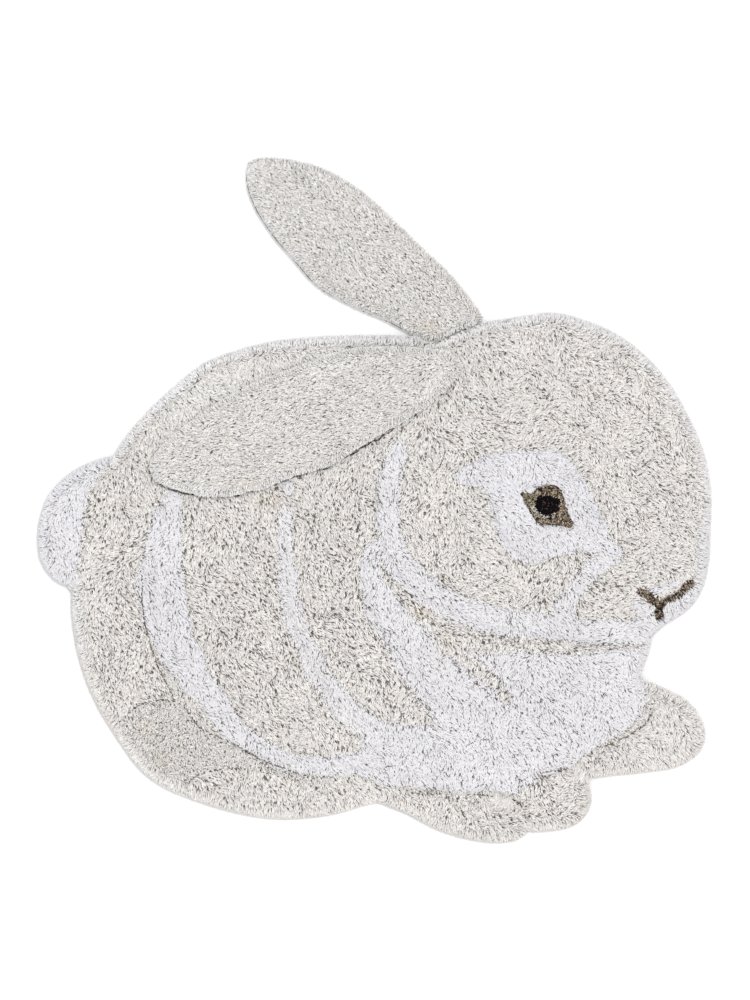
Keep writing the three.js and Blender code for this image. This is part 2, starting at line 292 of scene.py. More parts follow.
# folds and carved lines where the pile parts, drawn as strands painted dark as shade: a line, its width, and how much
# of it is filled
FOLDS = {
    "rear of the haunch": [
        dict(at="high", x=-373, y=-120, width=1.8, fill=0.15),
        dict(at="middle", x=-371, y=-180, width=2.0, fill=0.32),
        dict(at="low", x=-353, y=-252, width=2.2, fill=0.40),
        dict(at="end", x=-322, y=-318, width=2.0, fill=0.20),
    ],
    "root of the raised ear": [
        dict(at="rear", x=50, y=262, width=1.8, fill=0.14),
        dict(at="rear, low", x=76, y=250, width=2.0, fill=0.20),
        dict(at="middle", x=104, y=254, width=1.6, fill=0.12),
        dict(at="front, low", x=132, y=268, width=1.8, fill=0.20),
        dict(at="front", x=164, y=279, width=1.4, fill=0.12),
    ],
    "cheek, over the jaw": [
        dict(at="rear", x=72, y=-116, width=3.8, fill=0.06),
        dict(at="middle", x=104, y=-136, width=5.7, fill=0.19),
        dict(at="front", x=152, y=-155, width=3.8, fill=0.10),
    ],
    "under the jaw": [
        dict(at="rear", x=44, y=-156, width=9.5, fill=0.06),
        dict(at="neck", x=72, y=-180, width=11.4, fill=0.17),
        dict(at="middle", x=112, y=-206, width=7.6, fill=0.08),
        dict(at="throat, rear", x=160, y=-223, width=5.7, fill=0.06),
        dict(at="throat", x=208, y=-229, width=9.5, fill=0.13),
        dict(at="front", x=262, y=-240, width=5.7, fill=0.17),
        dict(at="end", x=318, y=-246, width=5.7, fill=0.06),
    ],
    "over the shoulder": [
        dict(at="high", x=64, y=-182, width=5.7, fill=0.10),
        dict(at="middle", x=100, y=-236, width=5.7, fill=0.08),
        dict(at="low", x=140, y=-273, width=4.6, fill=0.17),
        dict(at="end", x=196, y=-322, width=4.6, fill=0.17),
    ],
    "behind the shoulder": [
        dict(at="high", x=-24, y=-120, width=4.6, fill=0.04),
        dict(at="middle", x=-8, y=-198, width=4.6, fill=0.08),
        dict(at="low", x=36, y=-280, width=5.7, fill=0.10),
        dict(at="end", x=104, y=-350, width=4.6, fill=0.08),
    ],
    "over the front paw": [
        dict(at="front", x=444, y=-340, width=2.0, fill=0.28),
        dict(at="high", x=431, y=-360, width=2.0, fill=0.31),
        dict(at="middle", x=408, y=-376, width=2.0, fill=0.31),
        dict(at="low", x=380, y=-390, width=2.0, fill=0.28),
        dict(at="end", x=352, y=-398, width=2.0, fill=0.19),
    ],
    "over the middle paw": [
        dict(at="rear", x=232, y=-462, width=2.0, fill=0.28),
        dict(at="high, rear", x=243, y=-450, width=2.0, fill=0.31),
        dict(at="high", x=270, y=-437, width=2.0, fill=0.31),
        dict(at="high, front", x=298, y=-434, width=2.0, fill=0.25),
        dict(at="front", x=320, y=-437, width=2.0, fill=0.15),
    ],
    "over the rear paw": [
        dict(at="rear", x=150, y=-472, width=2.0, fill=0.22),
        dict(at="middle", x=186, y=-474, width=2.0, fill=0.34),
        dict(at="front", x=218, y=-478, width=2.0, fill=0.31),
        dict(at="corner", x=236, y=-492, width=2.0, fill=0.31),
        dict(at="end", x=243, y=-516, width=2.0, fill=0.25),
    ],
    "over the hind foot": [
        dict(at="heel", x=-398, y=-356, width=2.0, fill=0.06),
        dict(at="ankle, rear", x=-378, y=-329, width=2.0, fill=0.19),
        dict(at="ankle", x=-336, y=-320, width=2.0, fill=0.22),
        dict(at="ankle, front", x=-306, y=-332, width=2.0, fill=0.25),
        dict(at="instep", x=-278, y=-366, width=3.0, fill=0.31),
        dict(at="instep, front", x=-225, y=-391, width=2.6, fill=0.25),
        dict(at="toes", x=-172, y=-420, width=2.6, fill=0.25),
        dict(at="end", x=-96, y=-446, width=2.0, fill=0.15),
    ],
    "over the sole": [
        dict(at="rear, low", x=-306, y=-464, width=2.0, fill=0.06),
        dict(at="rear", x=-286, y=-442, width=2.0, fill=0.15),
        dict(at="middle", x=-240, y=-431, width=2.0, fill=0.19),
        dict(at="front", x=-184, y=-434, width=2.0, fill=0.15),
        dict(at="end", x=-116, y=-451, width=2.0, fill=0.09),
    ],
    "curl of the lying ear, rear": [
        dict(at="rear", x=-198, y=17, width=3.0, fill=0.9),
        dict(at="front", x=-189, y=21, width=4.0, fill=0.9),
    ],
    "curl of the lying ear, middle": [
        dict(at="rear", x=-134, y=36, width=3.0, fill=0.9),
        dict(at="middle", x=-127, y=39, width=5.0, fill=1.0),
        dict(at="front", x=-118, y=34, width=3.0, fill=0.8),
    ],
    "curl of the lying ear, front": [
        dict(at="rear", x=-83, y=47, width=3.0, fill=0.7),
        dict(at="front", x=-74, y=53, width=3.0, fill=0.8),
    ],
}

# painted warm shade: places where the beige is painted a little darker and warmer, under and at the tip of the lying
# ear, at the root of the raised ear, on the neck under the jaw and by the heel
WARM_SHADE = [
    dict(at="under the lying ear", x=-165, y=2, across=80, up=34, share=0.9),
    dict(at="tip of the lying ear", x=-205, y=30, across=70, up=24, share=0.5),
    dict(at="heel", x=-366, y=-366, across=60, up=50, share=0.6),
    dict(at="heel, low", x=-338, y=-414, across=50, up=40, share=0.6),
    dict(at="root of the raised ear", x=90, y=276, across=60, up=44, share=0.7),
    dict(at="neck", x=74, y=-176, across=52, up=28, share=0.9),
    dict(at="neck, low", x=110, y=-232, across=44, up=44, share=0.6),
]

PALER = [
    dict(at="back", x=-290, y=175, across=260, up=170, share=0.8),
    dict(at="back, middle", x=-80, y=230, across=260, up=80, share=0.8),
    dict(at="crown", x=250, y=300, across=240, up=70, share=0.6),
    dict(at="front paw", x=466, y=-362, across=170, up=120, share=0.6),
]

# ---------------------------------------------------------------- yarns
# tuft      distance between tufts            gather   how far a tuft's tips draw together, 0 to 1
# pitch     distance between strands          lean     how far a strand leans over, and its spread
# radius    of a strand near its end          deep     how far the base lies under the tips
# sink      how much lower some tips lie      stray    how much the way differs from tuft to tuft
# hollow    the share of sunk strands, painted darker as shade   way      which way the pile is combed, in degrees from +X
# wild      how much the combing wanders          dashes   more or fewer sunk, painted-dark strands than the yarn has

YARNS = {
    "beige": dict(pitch=2.25, tuft=5.6, gather=0.14, lean=8.0, spread=2.4, radius=1.10, deep=2.4, sink=1.3, stray=1.0, hollow=0.215, speck=0.50),
    "white": dict(pitch=2.25, tuft=5.6, gather=0.14, lean=8.6, spread=2.2, radius=1.18, deep=2.1, sink=1.0, stray=0.7, hollow=0.088, speck=0.48, roll=0.12),
    "short": dict(pitch=1.74, tuft=4.2, gather=0.10, lean=3.9, spread=1.4, radius=0.82, deep=1.8, sink=0.9, stray=1.2, hollow=0.170, speck=0.75),
    "ear": dict(pitch=1.92, tuft=4.0, gather=0.06, lean=6.6, spread=2.0, radius=0.90, deep=1.7, sink=0.8, stray=0.5, hollow=0.235, speck=0.60),
    "eye": dict(pitch=1.12, tuft=4.0, gather=0.10, lean=5.0, spread=1.4, radius=0.95, deep=3.0, sink=0.9, stray=2.4, hollow=0.10, speck=0.8),
    "mouth": dict(pitch=1.35, tuft=4.2, gather=0.10, lean=5.2, spread=1.8, radius=0.90, deep=3.5, sink=0.9, stray=0.9, hollow=0.15, speck=0.8),
}

WAYS = [
    dict(region="head", x=300, y=120, way=-25, wild=1.0, dashes=0.95),
    dict(region="cheek", x=230, y=-140, way=-50, wild=0.9, dashes=1.5),
    dict(region="neck", x=60, y=60, way=-80, wild=0.7, dashes=1.5),
    dict(region="flank", x=-60, y=-120, way=-62, wild=0.55, dashes=2.1),
    dict(region="haunch", x=-240, y=-160, way=-56, wild=0.55, dashes=1.9),
    dict(region="rump", x=-400, y=-160, way=-105, wild=0.7, dashes=1.8),
    dict(region="back", x=-230, y=190, way=-65, wild=0.5, dashes=0.0),
    dict(region="chest", x=250, y=-340, way=-70, wild=0.7, dashes=2.3),
    dict(region="belly", x=60, y=-420, way=-60, wild=0.7, dashes=1.3),
    dict(region="foot", x=-260, y=-440, way=-60, wild=0.7, dashes=1.2),
    dict(region="front paw", x=470, y=-360, way=-28, wild=0.8, dashes=0.5),
    dict(region="middle paw", x=290, y=-478, way=-60, wild=0.9, dashes=1.7),
]

# linear colours
BEIGE = (0.845, 0.811, 0.782)
# the colour painted along the edge, paler and cooler than the beige: painted light
PALE = (0.845, 0.830, 0.830)
WHITE = (0.808, 0.797, 0.824)
SHORT = (0.842, 0.814, 0.788)
EAR = (0.812, 0.784, 0.760)
BASE_BEIGE = (0.740, 0.710, 0.680)
BASE_WHITE = (0.820, 0.812, 0.820)

# ---------------------------------------------------------------- plan geometry


def smooth_closed(rows, step=4.0):
    """A smooth closed line through a table's rows, in even steps."""
    p = np.array([(r["x"], r["y"]) for r in rows], float)
    n = len(p)
    out = []
    for i in range(n):
        a, b, c, d = p[(i - 1) % n], p[i], p[(i + 1) % n], p[(i + 2) % n]
        count = max(2, int(np.linalg.norm(c - b) / step))
        t = (np.arange(count) / count)[:, None]
        out.append(0.5 * (2 * b + (c - a) * t + (2 * a - 5 * b + 4 * c - d) * t ** 2 + (3 * b - a - 3 * c + d) * t ** 3))
    return np.concatenate(out)


def smooth_open(rows, step=6.0):
    """A smooth open line through a table's rows, as (x, y, half width)."""
    p = np.array([(r["x"], r["y"], r["width"] / 2) for r in rows], float)
    p = np.concatenate([[2 * p[0] - p[1]], p, [2 * p[-1] - p[-2]]])
    out = []
    for i in range(1, len(p) - 2):
        a, b, c, d = p[i - 1], p[i], p[i + 1], p[i + 2]
        count = max(2, int(np.linalg.norm((c - b)[:2]) / step))
        t = (np.arange(count) / count)[:, None]
        out.append(0.5 * (2 * b + (c - a) * t + (2 * a - 5 * b + 4 * c - d) * t ** 2 + (3 * b - a - 3 * c + d) * t ** 3))
    return np.concatenate(out + [p[-2][None]])


def in_outline(line, x, y):
    """Which points lie inside a closed line."""
    inside = np.zeros(len(x), bool)
    box = (x > line[:, 0].min()) & (x < line[:, 0].max()) & (y > line[:, 1].min()) & (y < line[:, 1].max())
    px, py = x[box], y[box]
    within = np.zeros(len(px), bool)
    for a, b in zip(line, np.roll(line, -1, axis=0)):
        if a[1] == b[1]:
            continue
        cross = ((a[1] > py) != (b[1] > py)) & (px < (b[0] - a[0]) * (py - a[1]) / (b[1] - a[1]) + a[0])
        within ^= cross
    inside[box] = within
    return inside


def to_band(line, x, y):
    """Distance to a band's edge, negative inside it, and how far along it the nearest place is, 0 to 1."""
    best, along = np.full(len(x), 1e9), np.zeros(len(x))
    n = len(line) - 1
    for i in range(n):
        a, b = line[i], line[i + 1]
        d = b[:2] - a[:2]
        t = np.clip(((x - a[0]) * d[0] + (y - a[1]) * d[1]) / (d @ d), 0, 1)
        far = np.hypot(x - a[0] - t * d[0], y - a[1] - t * d[1]) - (a[2] + t * (b[2] - a[2]))
        near = far < best
        best[near], along[near] = far[near], ((i + t) / n)[near]
    return best, along


def to_segments(segments, x, y):
    """Distance to the nearest of many straight pieces."""
    best = np.full(x.shape, 1e9)
    for x1, y1, x2, y2 in segments:
        dx, dy = x2 - x1, y2 - y1
        t = np.clip(((x - x1) * dx + (y - y1) * dy) / (dx * dx + dy * dy), 0, 1)
        best = np.minimum(best, (x - x1 - t * dx) ** 2 + (y - y1 - t * dy) ** 2)
    return np.sqrt(best)


class Map:
    """Values on an even grid, read between its points."""

    def __init__(self, x0, y0, step, values):
        self.x0, self.y0, self.step, self.values = x0, y0, step, values

    def at(self, x, y):
        v = self.values
        i = np.clip((np.asarray(y) - self.y0) / self.step, 0, v.shape[0] - 1.001)
        j = np.clip((np.asarray(x) - self.x0) / self.step, 0, v.shape[1] - 1.001)
        i0, j0 = i.astype(int), j.astype(int)
        fi, fj = i - i0, j - j0
        return ((v[i0, j0] * (1 - fj) + v[i0, j0 + 1] * fj) * (1 - fi)
                + (v[i0 + 1, j0] * (1 - fj) + v[i0 + 1, j0 + 1] * fj) * fi)


def noise(x, y, size, seed):
    """Smooth noise from -1 to 1 whose blotches are about size across."""
    r = np.random.default_rng(seed).uniform(-1, 1, (int(1400 / size) + 5, int(1400 / size) + 5))
    i, j = (np.asarray(y) + 690) / size + 1, (np.asarray(x) + 690) / size + 1
    i0, j0 = i.astype(int), j.astype(int)
    fi, fj = i - i0, j - j0
    fi, fj = fi * fi * (3 - 2 * fi), fj * fj * (3 - 2 * fj)
    return ((r[i0, j0] * (1 - fj) + r[i0, j0 + 1] * fj) * (1 - fi)
            + (r[i0 + 1, j0] * (1 - fj) + r[i0 + 1, j0 + 1] * fj) * fi)


def ramp(v, low, high):
    t = np.clip((v - low) / (high - low), 0, 1)
    return t * t * (3 - 2 * t)


def blurred(v, mask, times):
    """v averaged over its neighbours inside mask, and spread outside it."""
    w = mask.astype(float)
    v = np.where(mask, v, 0.0)
    for _ in range(times):
        for axis in (0, 1):
            v = (np.roll(v, 1, axis) + 2 * v + np.roll(v, -1, axis)) / 4
            w = (np.roll(w, 1, axis) + 2 * w + np.roll(w, -1, axis)) / 4
    return np.where(w > 1e-9, v / np.maximum(w, 1e-9), 0.0)


# ---------------------------------------------------------------- what the CAD solids give


class Cloth:
    """A CAD solid seen from above: its height, its outline, and the distance to it."""

    CELL = 2.0

    def __init__(self, node):
        mesh = frame["nodes"][node].data
        mesh.calc_loop_triangles()
        v = np.zeros(len(mesh.vertices) * 3, np.float64)
        t = np.zeros(len(mesh.loop_triangles) * 3, np.int32)
        mesh.vertices.foreach_get("co", v)
        mesh.loop_triangles.foreach_get("vertices", t)
        # points that lie in one place are one point
        v, same = np.unique(np.round(v.reshape(-1, 3) / MM, 3), axis=0, return_inverse=True)
        t = same.reshape(-1)[t.reshape(-1, 3)]
        self.node = node
        self.low, self.high = v[:, 2].min(), v[:, 2].max()
        a, b, c = v[t[:, 0]], v[t[:, 1]], v[t[:, 2]]
        nz = np.cross(b - a, c - a)
        size = np.linalg.norm(nz, axis=1)
        up = nz[:, 2] / np.maximum(size, 1e-9)
        # height from above
        x0, y0 = v[:, 0].min() - 40, v[:, 1].min() - 40
        nx = int((v[:, 0].max() + 40 - x0) / self.CELL) + 2
        ny = int((v[:, 1].max() + 40 - y0) / self.CELL) + 2
        height = np.full((ny, nx), -1.0)
        for p, q, r in zip(a[up > 0.02], b[up > 0.02], c[up > 0.02]):
            j0, j1 = int((min(p[0], q[0], r[0]) - x0) / self.CELL), int((max(p[0], q[0], r[0]) - x0) / self.CELL) + 2
            i0, i1 = int((min(p[1], q[1], r[1]) - y0) / self.CELL), int((max(p[1], q[1], r[1]) - y0) / self.CELL) + 2
            gx = x0 + self.CELL * np.arange(j0, j1)[None, :]
            gy = y0 + self.CELL * np.arange(i0, i1)[:, None]
            det = (q[1] - r[1]) * (p[0] - r[0]) + (r[0] - q[0]) * (p[1] - r[1])
            if abs(det) < 1e-9:
                continue
            l1 = ((q[1] - r[1]) * (gx - r[0]) + (r[0] - q[0]) * (gy - r[1])) / det
            l2 = ((r[1] - p[1]) * (gx - r[0]) + (p[0] - r[0]) * (gy - r[1])) / det
            l3 = 1 - l1 - l2
            hit = (l1 >= -1e-6) & (l2 >= -1e-6) & (l3 >= -1e-6)
            z = l1 * p[2] + l2 * q[2] + l3 * r[2]
            part = height[i0:i1, j0:j1]
            part[hit] = np.maximum(part[hit], z[hit])
        mask = height >= 0
        self.area = mask.sum() * self.CELL ** 2
        self.top = Map(x0, y0, self.CELL, blurred(height, mask, 3))
        # outline: edges between the flat underside and the rest
        under = up < -0.9
        edges = {}
        for tri in t[under]:
            for i in range(3):
                e = (int(tri[i]), int(tri[(i + 1) % 3]))
                key = (min(e), max(e))
                edges[key] = edges.get(key, 0) + 1
        line = np.array([e for e, n in edges.items() if n == 1])
        self.segments = np.concatenate([v[line[:, 0], :2], v[line[:, 1], :2]], axis=1)
        step = 3.0
        gx = np.arange(x0, v[:, 0].max() + 40, step)
        gy = np.arange(y0, v[:, 1].max() + 40, step)
        mx, my = np.meshgrid(gx, gy)
        far = to_segments(self.segments, mx, my)
        inside = Map(x0, y0, self.CELL, mask.astype(float)).at(mx, my) > 0.5
        self.depth = Map(x0, y0, step, np.where(inside, far, -far))
        self.box = (v[:, 0].min(), v[:, 0].max(), v[:, 1].min(), v[:, 1].max())

    def outwards(self, x, y, over=4.0):
        """The way to the nearest edge."""
        dx = self.depth.at(x - over, y) - self.depth.at(x + over, y)
        dy = self.depth.at(x, y - over) - self.depth.at(x, y + over)
        n = np.maximum(np.hypot(dx, dy), 1e-6)
        return dx / n, dy / n


body, ear_raised, ear_lying = Cloth("body"), Cloth("ear_raised"), Cloth("ear_lying")

patch_lines = {name: smooth_closed(rows) for name, rows in PATCHES.items()}
band_lines = {name: smooth_open(rows) for name, rows in BANDS.items()}
mouth_lines = {name: smooth_open(rows, 3.0) for name, rows in MOUTH.items()}
short_line = smooth_closed(SHORT_FOOT)
eye_line = smooth_closed(EYE, 2.0)


def whiteness(x, y, ragged=True):
    """How white the coat is, from 0 for beige to 1."""
    if ragged:
        x, y = (x + 3.6 * noise(x, y, 10, 11) + 2.9 * noise(x, y, 4.5, 13),
                y + 3.6 * noise(x, y, 10, 12) + 2.9 * noise(x, y, 4.5, 14))
    white = np.zeros(len(x))
    for name, line in patch_lines.items():
        white = np.maximum(white, in_outline(line, x, y) * HOW_WHITE[name])
    for name, line in band_lines.items():
        white = np.maximum(white, (to_band(line, x, y)[0] < 0) * HOW_WHITE[name + " band"])
    return white


def in_mouth(x, y, more=0.0):
    inside = np.zeros(len(x), bool)
    for line in mouth_lines.values():
        inside |= to_band(line, x, y)[0] < more
    return inside


def combed(x, y):
    """Which way the pile is combed, as an angle, and how many of its strands are dark, as a factor."""
    sx, sy, total, wild, dashes = (np.zeros(len(x)) for _ in range(5))
    for row in WAYS:
        w = 1 / (((x - row["x"]) ** 2 + (y - row["y"]) ** 2) / 90.0 ** 2 + 0.3) ** 1.5
        sx += w * math.cos(math.radians(row["way"]))
        sy += w * math.sin(math.radians(row["way"]))
        wild += w * row["wild"]
        dashes += w * row["dashes"]
        total += w
    return np.arctan2(sy, sx) + wild / total * (1.2 * noise(x, y, 62, 21) + 1.1 * noise(x, y, 21, 22)), dashes / total


# ---------------------------------------------------------------- materials


def material(name, roughness, sheen, tint, streak, bump, drift=0.03, shade_pits=None):
    """A yarn: its colour lies on the mesh, with fine fibres, a slow drift and fuzz over it."""
    m = bpy.data.materials.new(name)
    m.use_nodes = True
    t = m.node_tree
    t.nodes.clear()
    out = t.nodes.new("ShaderNodeOutputMaterial")
    shader = t.nodes.new("ShaderNodeBsdfPrincipled")
    place = t.nodes.new("ShaderNodeTexCoord")
    colour = t.nodes.new("ShaderNodeAttribute")
    colour.attribute_name = "tone"
    fibres = t.nodes.new("ShaderNodeTexNoise")
    fibres.inputs["Scale"].default_value = 620.0
    fibres.inputs["Detail"].default_value = 3.0
    fibres.inputs["Roughness"].default_value = 0.65
    spread = t.nodes.new("ShaderNodeMapRange")
    spread.inputs["From Min"].default_value = 0.3
    spread.inputs["From Max"].default_value = 0.7
    spread.inputs["To Min"].default_value = 1.0 - streak
    spread.inputs["To Max"].default_value = 1.0 + streak * 0.6
    slow = t.nodes.new("ShaderNodeTexNoise")
    slow.inputs["Scale"].default_value = 14.0
    slow.inputs["Detail"].default_value = 2.0
    slow_range = t.nodes.new("ShaderNodeMapRange")
    slow_range.inputs["From Min"].default_value = 0.3
    slow_range.inputs["From Max"].default_value = 0.7
    slow_range.inputs["To Min"].default_value = 1.0 - drift
    slow_range.inputs["To Max"].default_value = 1.0 + drift
    both = t.nodes.new("ShaderNodeMath")
    both.operation = "MULTIPLY"
    scaled = t.nodes.new("ShaderNodeVectorMath")
    scaled.operation = "SCALE"
    fuzz = t.nodes.new("ShaderNodeTexNoise")
    fuzz.inputs["Scale"].default_value = 1500.0
    fuzz.inputs["Detail"].default_value = 2.0
    relief = t.nodes.new("ShaderNodeBump")
    relief.inputs["Strength"].default_value = bump
    relief.inputs["Distance"].default_value = 0.0004
    for node in (fibres, slow, fuzz):
        t.links.new(place.outputs["Object"], node.inputs["Vector"])
    t.links.new(fibres.outputs["Fac"], spread.inputs["Value"])
    t.links.new(slow.outputs["Fac"], slow_range.inputs["Value"])
    t.links.new(spread.outputs["Result"], both.inputs[0])
    t.links.new(slow_range.outputs["Result"], both.inputs[1])
    t.links.new(colour.outputs["Color"], scaled.inputs[0])
    t.links.new(both.outputs["Value"], scaled.inputs["Scale"])
    t.links.new(scaled.outputs["Vector"], shader.inputs["Base Color"])
    t.links.new(fuzz.outputs["Fac"], relief.inputs["Height"])
    t.links.new(relief.outputs["Normal"], shader.inputs["Normal"])
    shader.inputs["Roughness"].default_value = roughness
    shader.inputs["Specular IOR Level"].default_value = 0.12
    shader.inputs["Sheen Weight"].default_value = sheen
    shader.inputs["Sheen Roughness"].default_value = 0.5
    shader.inputs["Sheen Tint"].default_value = (*tint, 1.0)
    t.links.new(shader.outputs["BSDF"], out.inputs["Surface"])
    if shade_pits is not None:
        # painted shade: dark spots in the hollows between the tufts
        hollow = t.nodes.new("ShaderNodeTexNoise")
        hollow.inputs["Scale"].default_value = shade_pits["scale"]
        hollow.inputs["Detail"].default_value = 2.0
        hollow.inputs["Roughness"].default_value = 0.6
        share = t.nodes.new("ShaderNodeMapRange")
        share.inputs["From Min"].default_value = shade_pits["start"]
        share.inputs["From Max"].default_value = shade_pits["full"]
        share.inputs["To Min"].default_value = 1.0
        share.inputs["To Max"].default_value = shade_pits["dark"]
        darker = t.nodes.new("ShaderNodeMath")
        darker.operation = "MULTIPLY"
        t.links.new(place.outputs["Object"], hollow.inputs["Vector"])
        t.links.new(hollow.outputs["Fac"], share.inputs["Value"])
        t.links.new(both.outputs["Value"], darker.inputs[0])
        t.links.new(share.outputs["Result"], darker.inputs[1])
        t.links.new(darker.outputs["Value"], scaled.inputs["Scale"])
    return m


beige_yarn = material("beige yarn", 0.95, 0.12, (1.0, 0.97, 0.93), 0.10, 0.35)
white_yarn = material("white yarn", 0.93, 0.12, (1.0, 1.0, 1.0), 0.06, 0.30)
# the brown yarn of the eye and the mouth; the strands painted dark as shade in the folds use it too
brown_yarn_and_painted_shade = material("brown yarn and painted shade", 0.95, 0.06, (0.9, 0.75, 0.6), 0.30, 0.40, 0.08)
black_yarn = material("black yarn", 0.90, 0.04, (0.7, 0.7, 0.75), 0.30, 0.40, 0.05)
# the base cloth carries painted shade: dark spots where it shows between the tufts
base_cloth = material("base cloth", 0.97, 0.0, (1.0, 1.0, 1.0), 0.12, 0.50, 0.04,
                      shade_pits=dict(scale=230.0, start=0.54, full=0.61, dark=0.15))

# ---------------------------------------------------------------- meshes


def new_mesh(name, points, faces, tone, mat, smooth=True):
    """A mesh of triangles, its points in millimetres, with a colour at each point."""
    mesh = bpy.data.meshes.new(name)
    mesh.vertices.add(len(points))
    mesh.vertices.foreach_set("co", (points * MM).astype(np.float32).ravel())
    mesh.loops.add(faces.size)
    mesh.loops.foreach_set("vertex_index", faces.astype(np.int32).ravel())
    mesh.polygons.add(len(faces))
    mesh.polygons.foreach_set("loop_start", np.arange(0, faces.size, 3, dtype=np.int32))
    mesh.polygons.foreach_set("loop_total", np.full(len(faces), 3, np.int32))
    mesh.polygons.foreach_set("use_smooth", np.full(len(faces), smooth))
    mesh.update(calc_edges=True)
    attribute = mesh.attributes.new("tone", "FLOAT_COLOR", "POINT")
    rgba = np.ones((len(points), 4), np.float32)
    rgba[:, :3] = tone
    attribute.data.foreach_set("color", rgba.ravel())
    mesh.materials.append(mat)
    o = bpy.data.objects.new(name, mesh)
    bpy.context.scene.collection.objects.link(o)
    return o


def strand_mesh(name, s, mat):
    """Closed strands: a thin root, a left and a right flank near the end, and a tip, with the ridge on top."""
    root, tip, rng = s["root"], s["tip"], np.random.default_rng(s["seed"])
    n = len(root)
    length = np.linalg.norm(tip - root, axis=1, keepdims=True)
    axis = (tip - root) / np.maximum(length, 1e-6)
    side = np.cross(axis, (0.0, 0.0, 1.0))
    side[np.linalg.norm(side, axis=1) < 1e-3] = (1.0, 0.0, 0.0)
    side /= np.linalg.norm(side, axis=1, keepdims=True)
    up = np.cross(side, axis)
    roll = rng.normal(0, s["roll"], (n, 1))
    side, up = side * np.cos(roll) + up * np.sin(roll), up * np.cos(roll) - side * np.sin(roll)
    wide = s["radius"][:, None]
    # near the edge of the cloth the strands end bluntly
    blunt = s["rim"][:, None]
    reach = rng.uniform(0.52, 0.78, (n, 1)) * (1 - blunt) + rng.uniform(0.80, 0.92, (n, 1)) * blunt
    middle = root + (tip - root) * reach + side * rng.normal(0, 0.07, (n, 1)) * length
    points = np.stack([root, middle - side * wide - up * 0.42 * wide, middle + side * wide - up * 0.42 * wide, tip], 1)
    faces = np.array([(0, 2, 3), (0, 3, 1), (0, 1, 2), (3, 2, 1)])
    faces = (faces[None] + 4 * np.arange(n)[:, None, None]).reshape(-1, 3)
    tone = np.zeros((n, 4, 3))
    # the root is painted darker than the rest of the strand: painted shade down in the pile
    tone[:, 0] = s["tone"] * s["dark"][:, None]
    # sunk strands are painted darker and warmer along their length: painted shade between the tufts
    shade = np.where(s["hollow"][:, None] > 0, (1.06, 0.97, 0.86), 1.0)
    tone[:, 1:3] = (s["tone"] * shade * (0.99 - 0.87 * s["hollow"][:, None]))[:, None]
    tone[:, 3] = s["tone"] * shade * (1 - 0.80 * s["hollow"][:, None])
    o = new_mesh(name, points.reshape(-1, 3), faces, tone.reshape(-1, 3), mat, smooth=False)
    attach(o, "root")
    return o


# ---------------------------------------------------------------- strands


def rows_of_roots(box, pitch, seed, jitter=0.42):
    """Strand roots on a jittered lattice over a box."""
    rng = np.random.default_rng(seed)
    x = np.arange(box[0], box[1], pitch)
    y = np.arange(box[2], box[3], pitch * math.sqrt(3) / 2)
    gx, gy = np.meshgrid(x, y)
    gx = gx + np.where(np.arange(len(y)) % 2, pitch / 2, 0)[:, None]
    gx = gx + rng.uniform(-jitter, jitter, gx.shape) * pitch
    gy = gy + rng.uniform(-jitter, jitter, gy.shape) * pitch
    return gx.ravel(), gy.ravel()


def tufts(x, y, pitch, seed):
    """The tuft that each root belongs to: the tuft's middle and its own chance numbers."""
    rng = np.random.default_rng(seed)
    n = int(1400 / pitch) + 6
    off = rng.uniform(-0.42, 0.42, (n, n, 2)) * pitch
    chance = rng.uniform(0, 1, (n, n, 5))
    i, j = ((y + 690) / pitch).astype(int) + 2, ((x + 690) / pitch).astype(int) + 2
    best, cx, cy, own = np.full(len(x), 1e9), np.zeros(len(x)), np.zeros(len(x)), np.zeros((len(x), 5))
    for di in (-1, 0, 1):
        for dj in (-1, 0, 1):
            ii, jj = i + di, j + dj
            tx = (jj - 2 + 0.5 + 0.5 * (ii % 2)) * pitch - 690 + off[ii, jj, 0]
            ty = (ii - 2 + 0.5) * pitch - 690 + off[ii, jj, 1]
            far = (x - tx) ** 2 + (y - ty) ** 2
            near = far < best
            best[near], cx[near], cy[near], own[near] = far[near], tx[near], ty[near], chance[ii, jj][near]
    return cx, cy, own


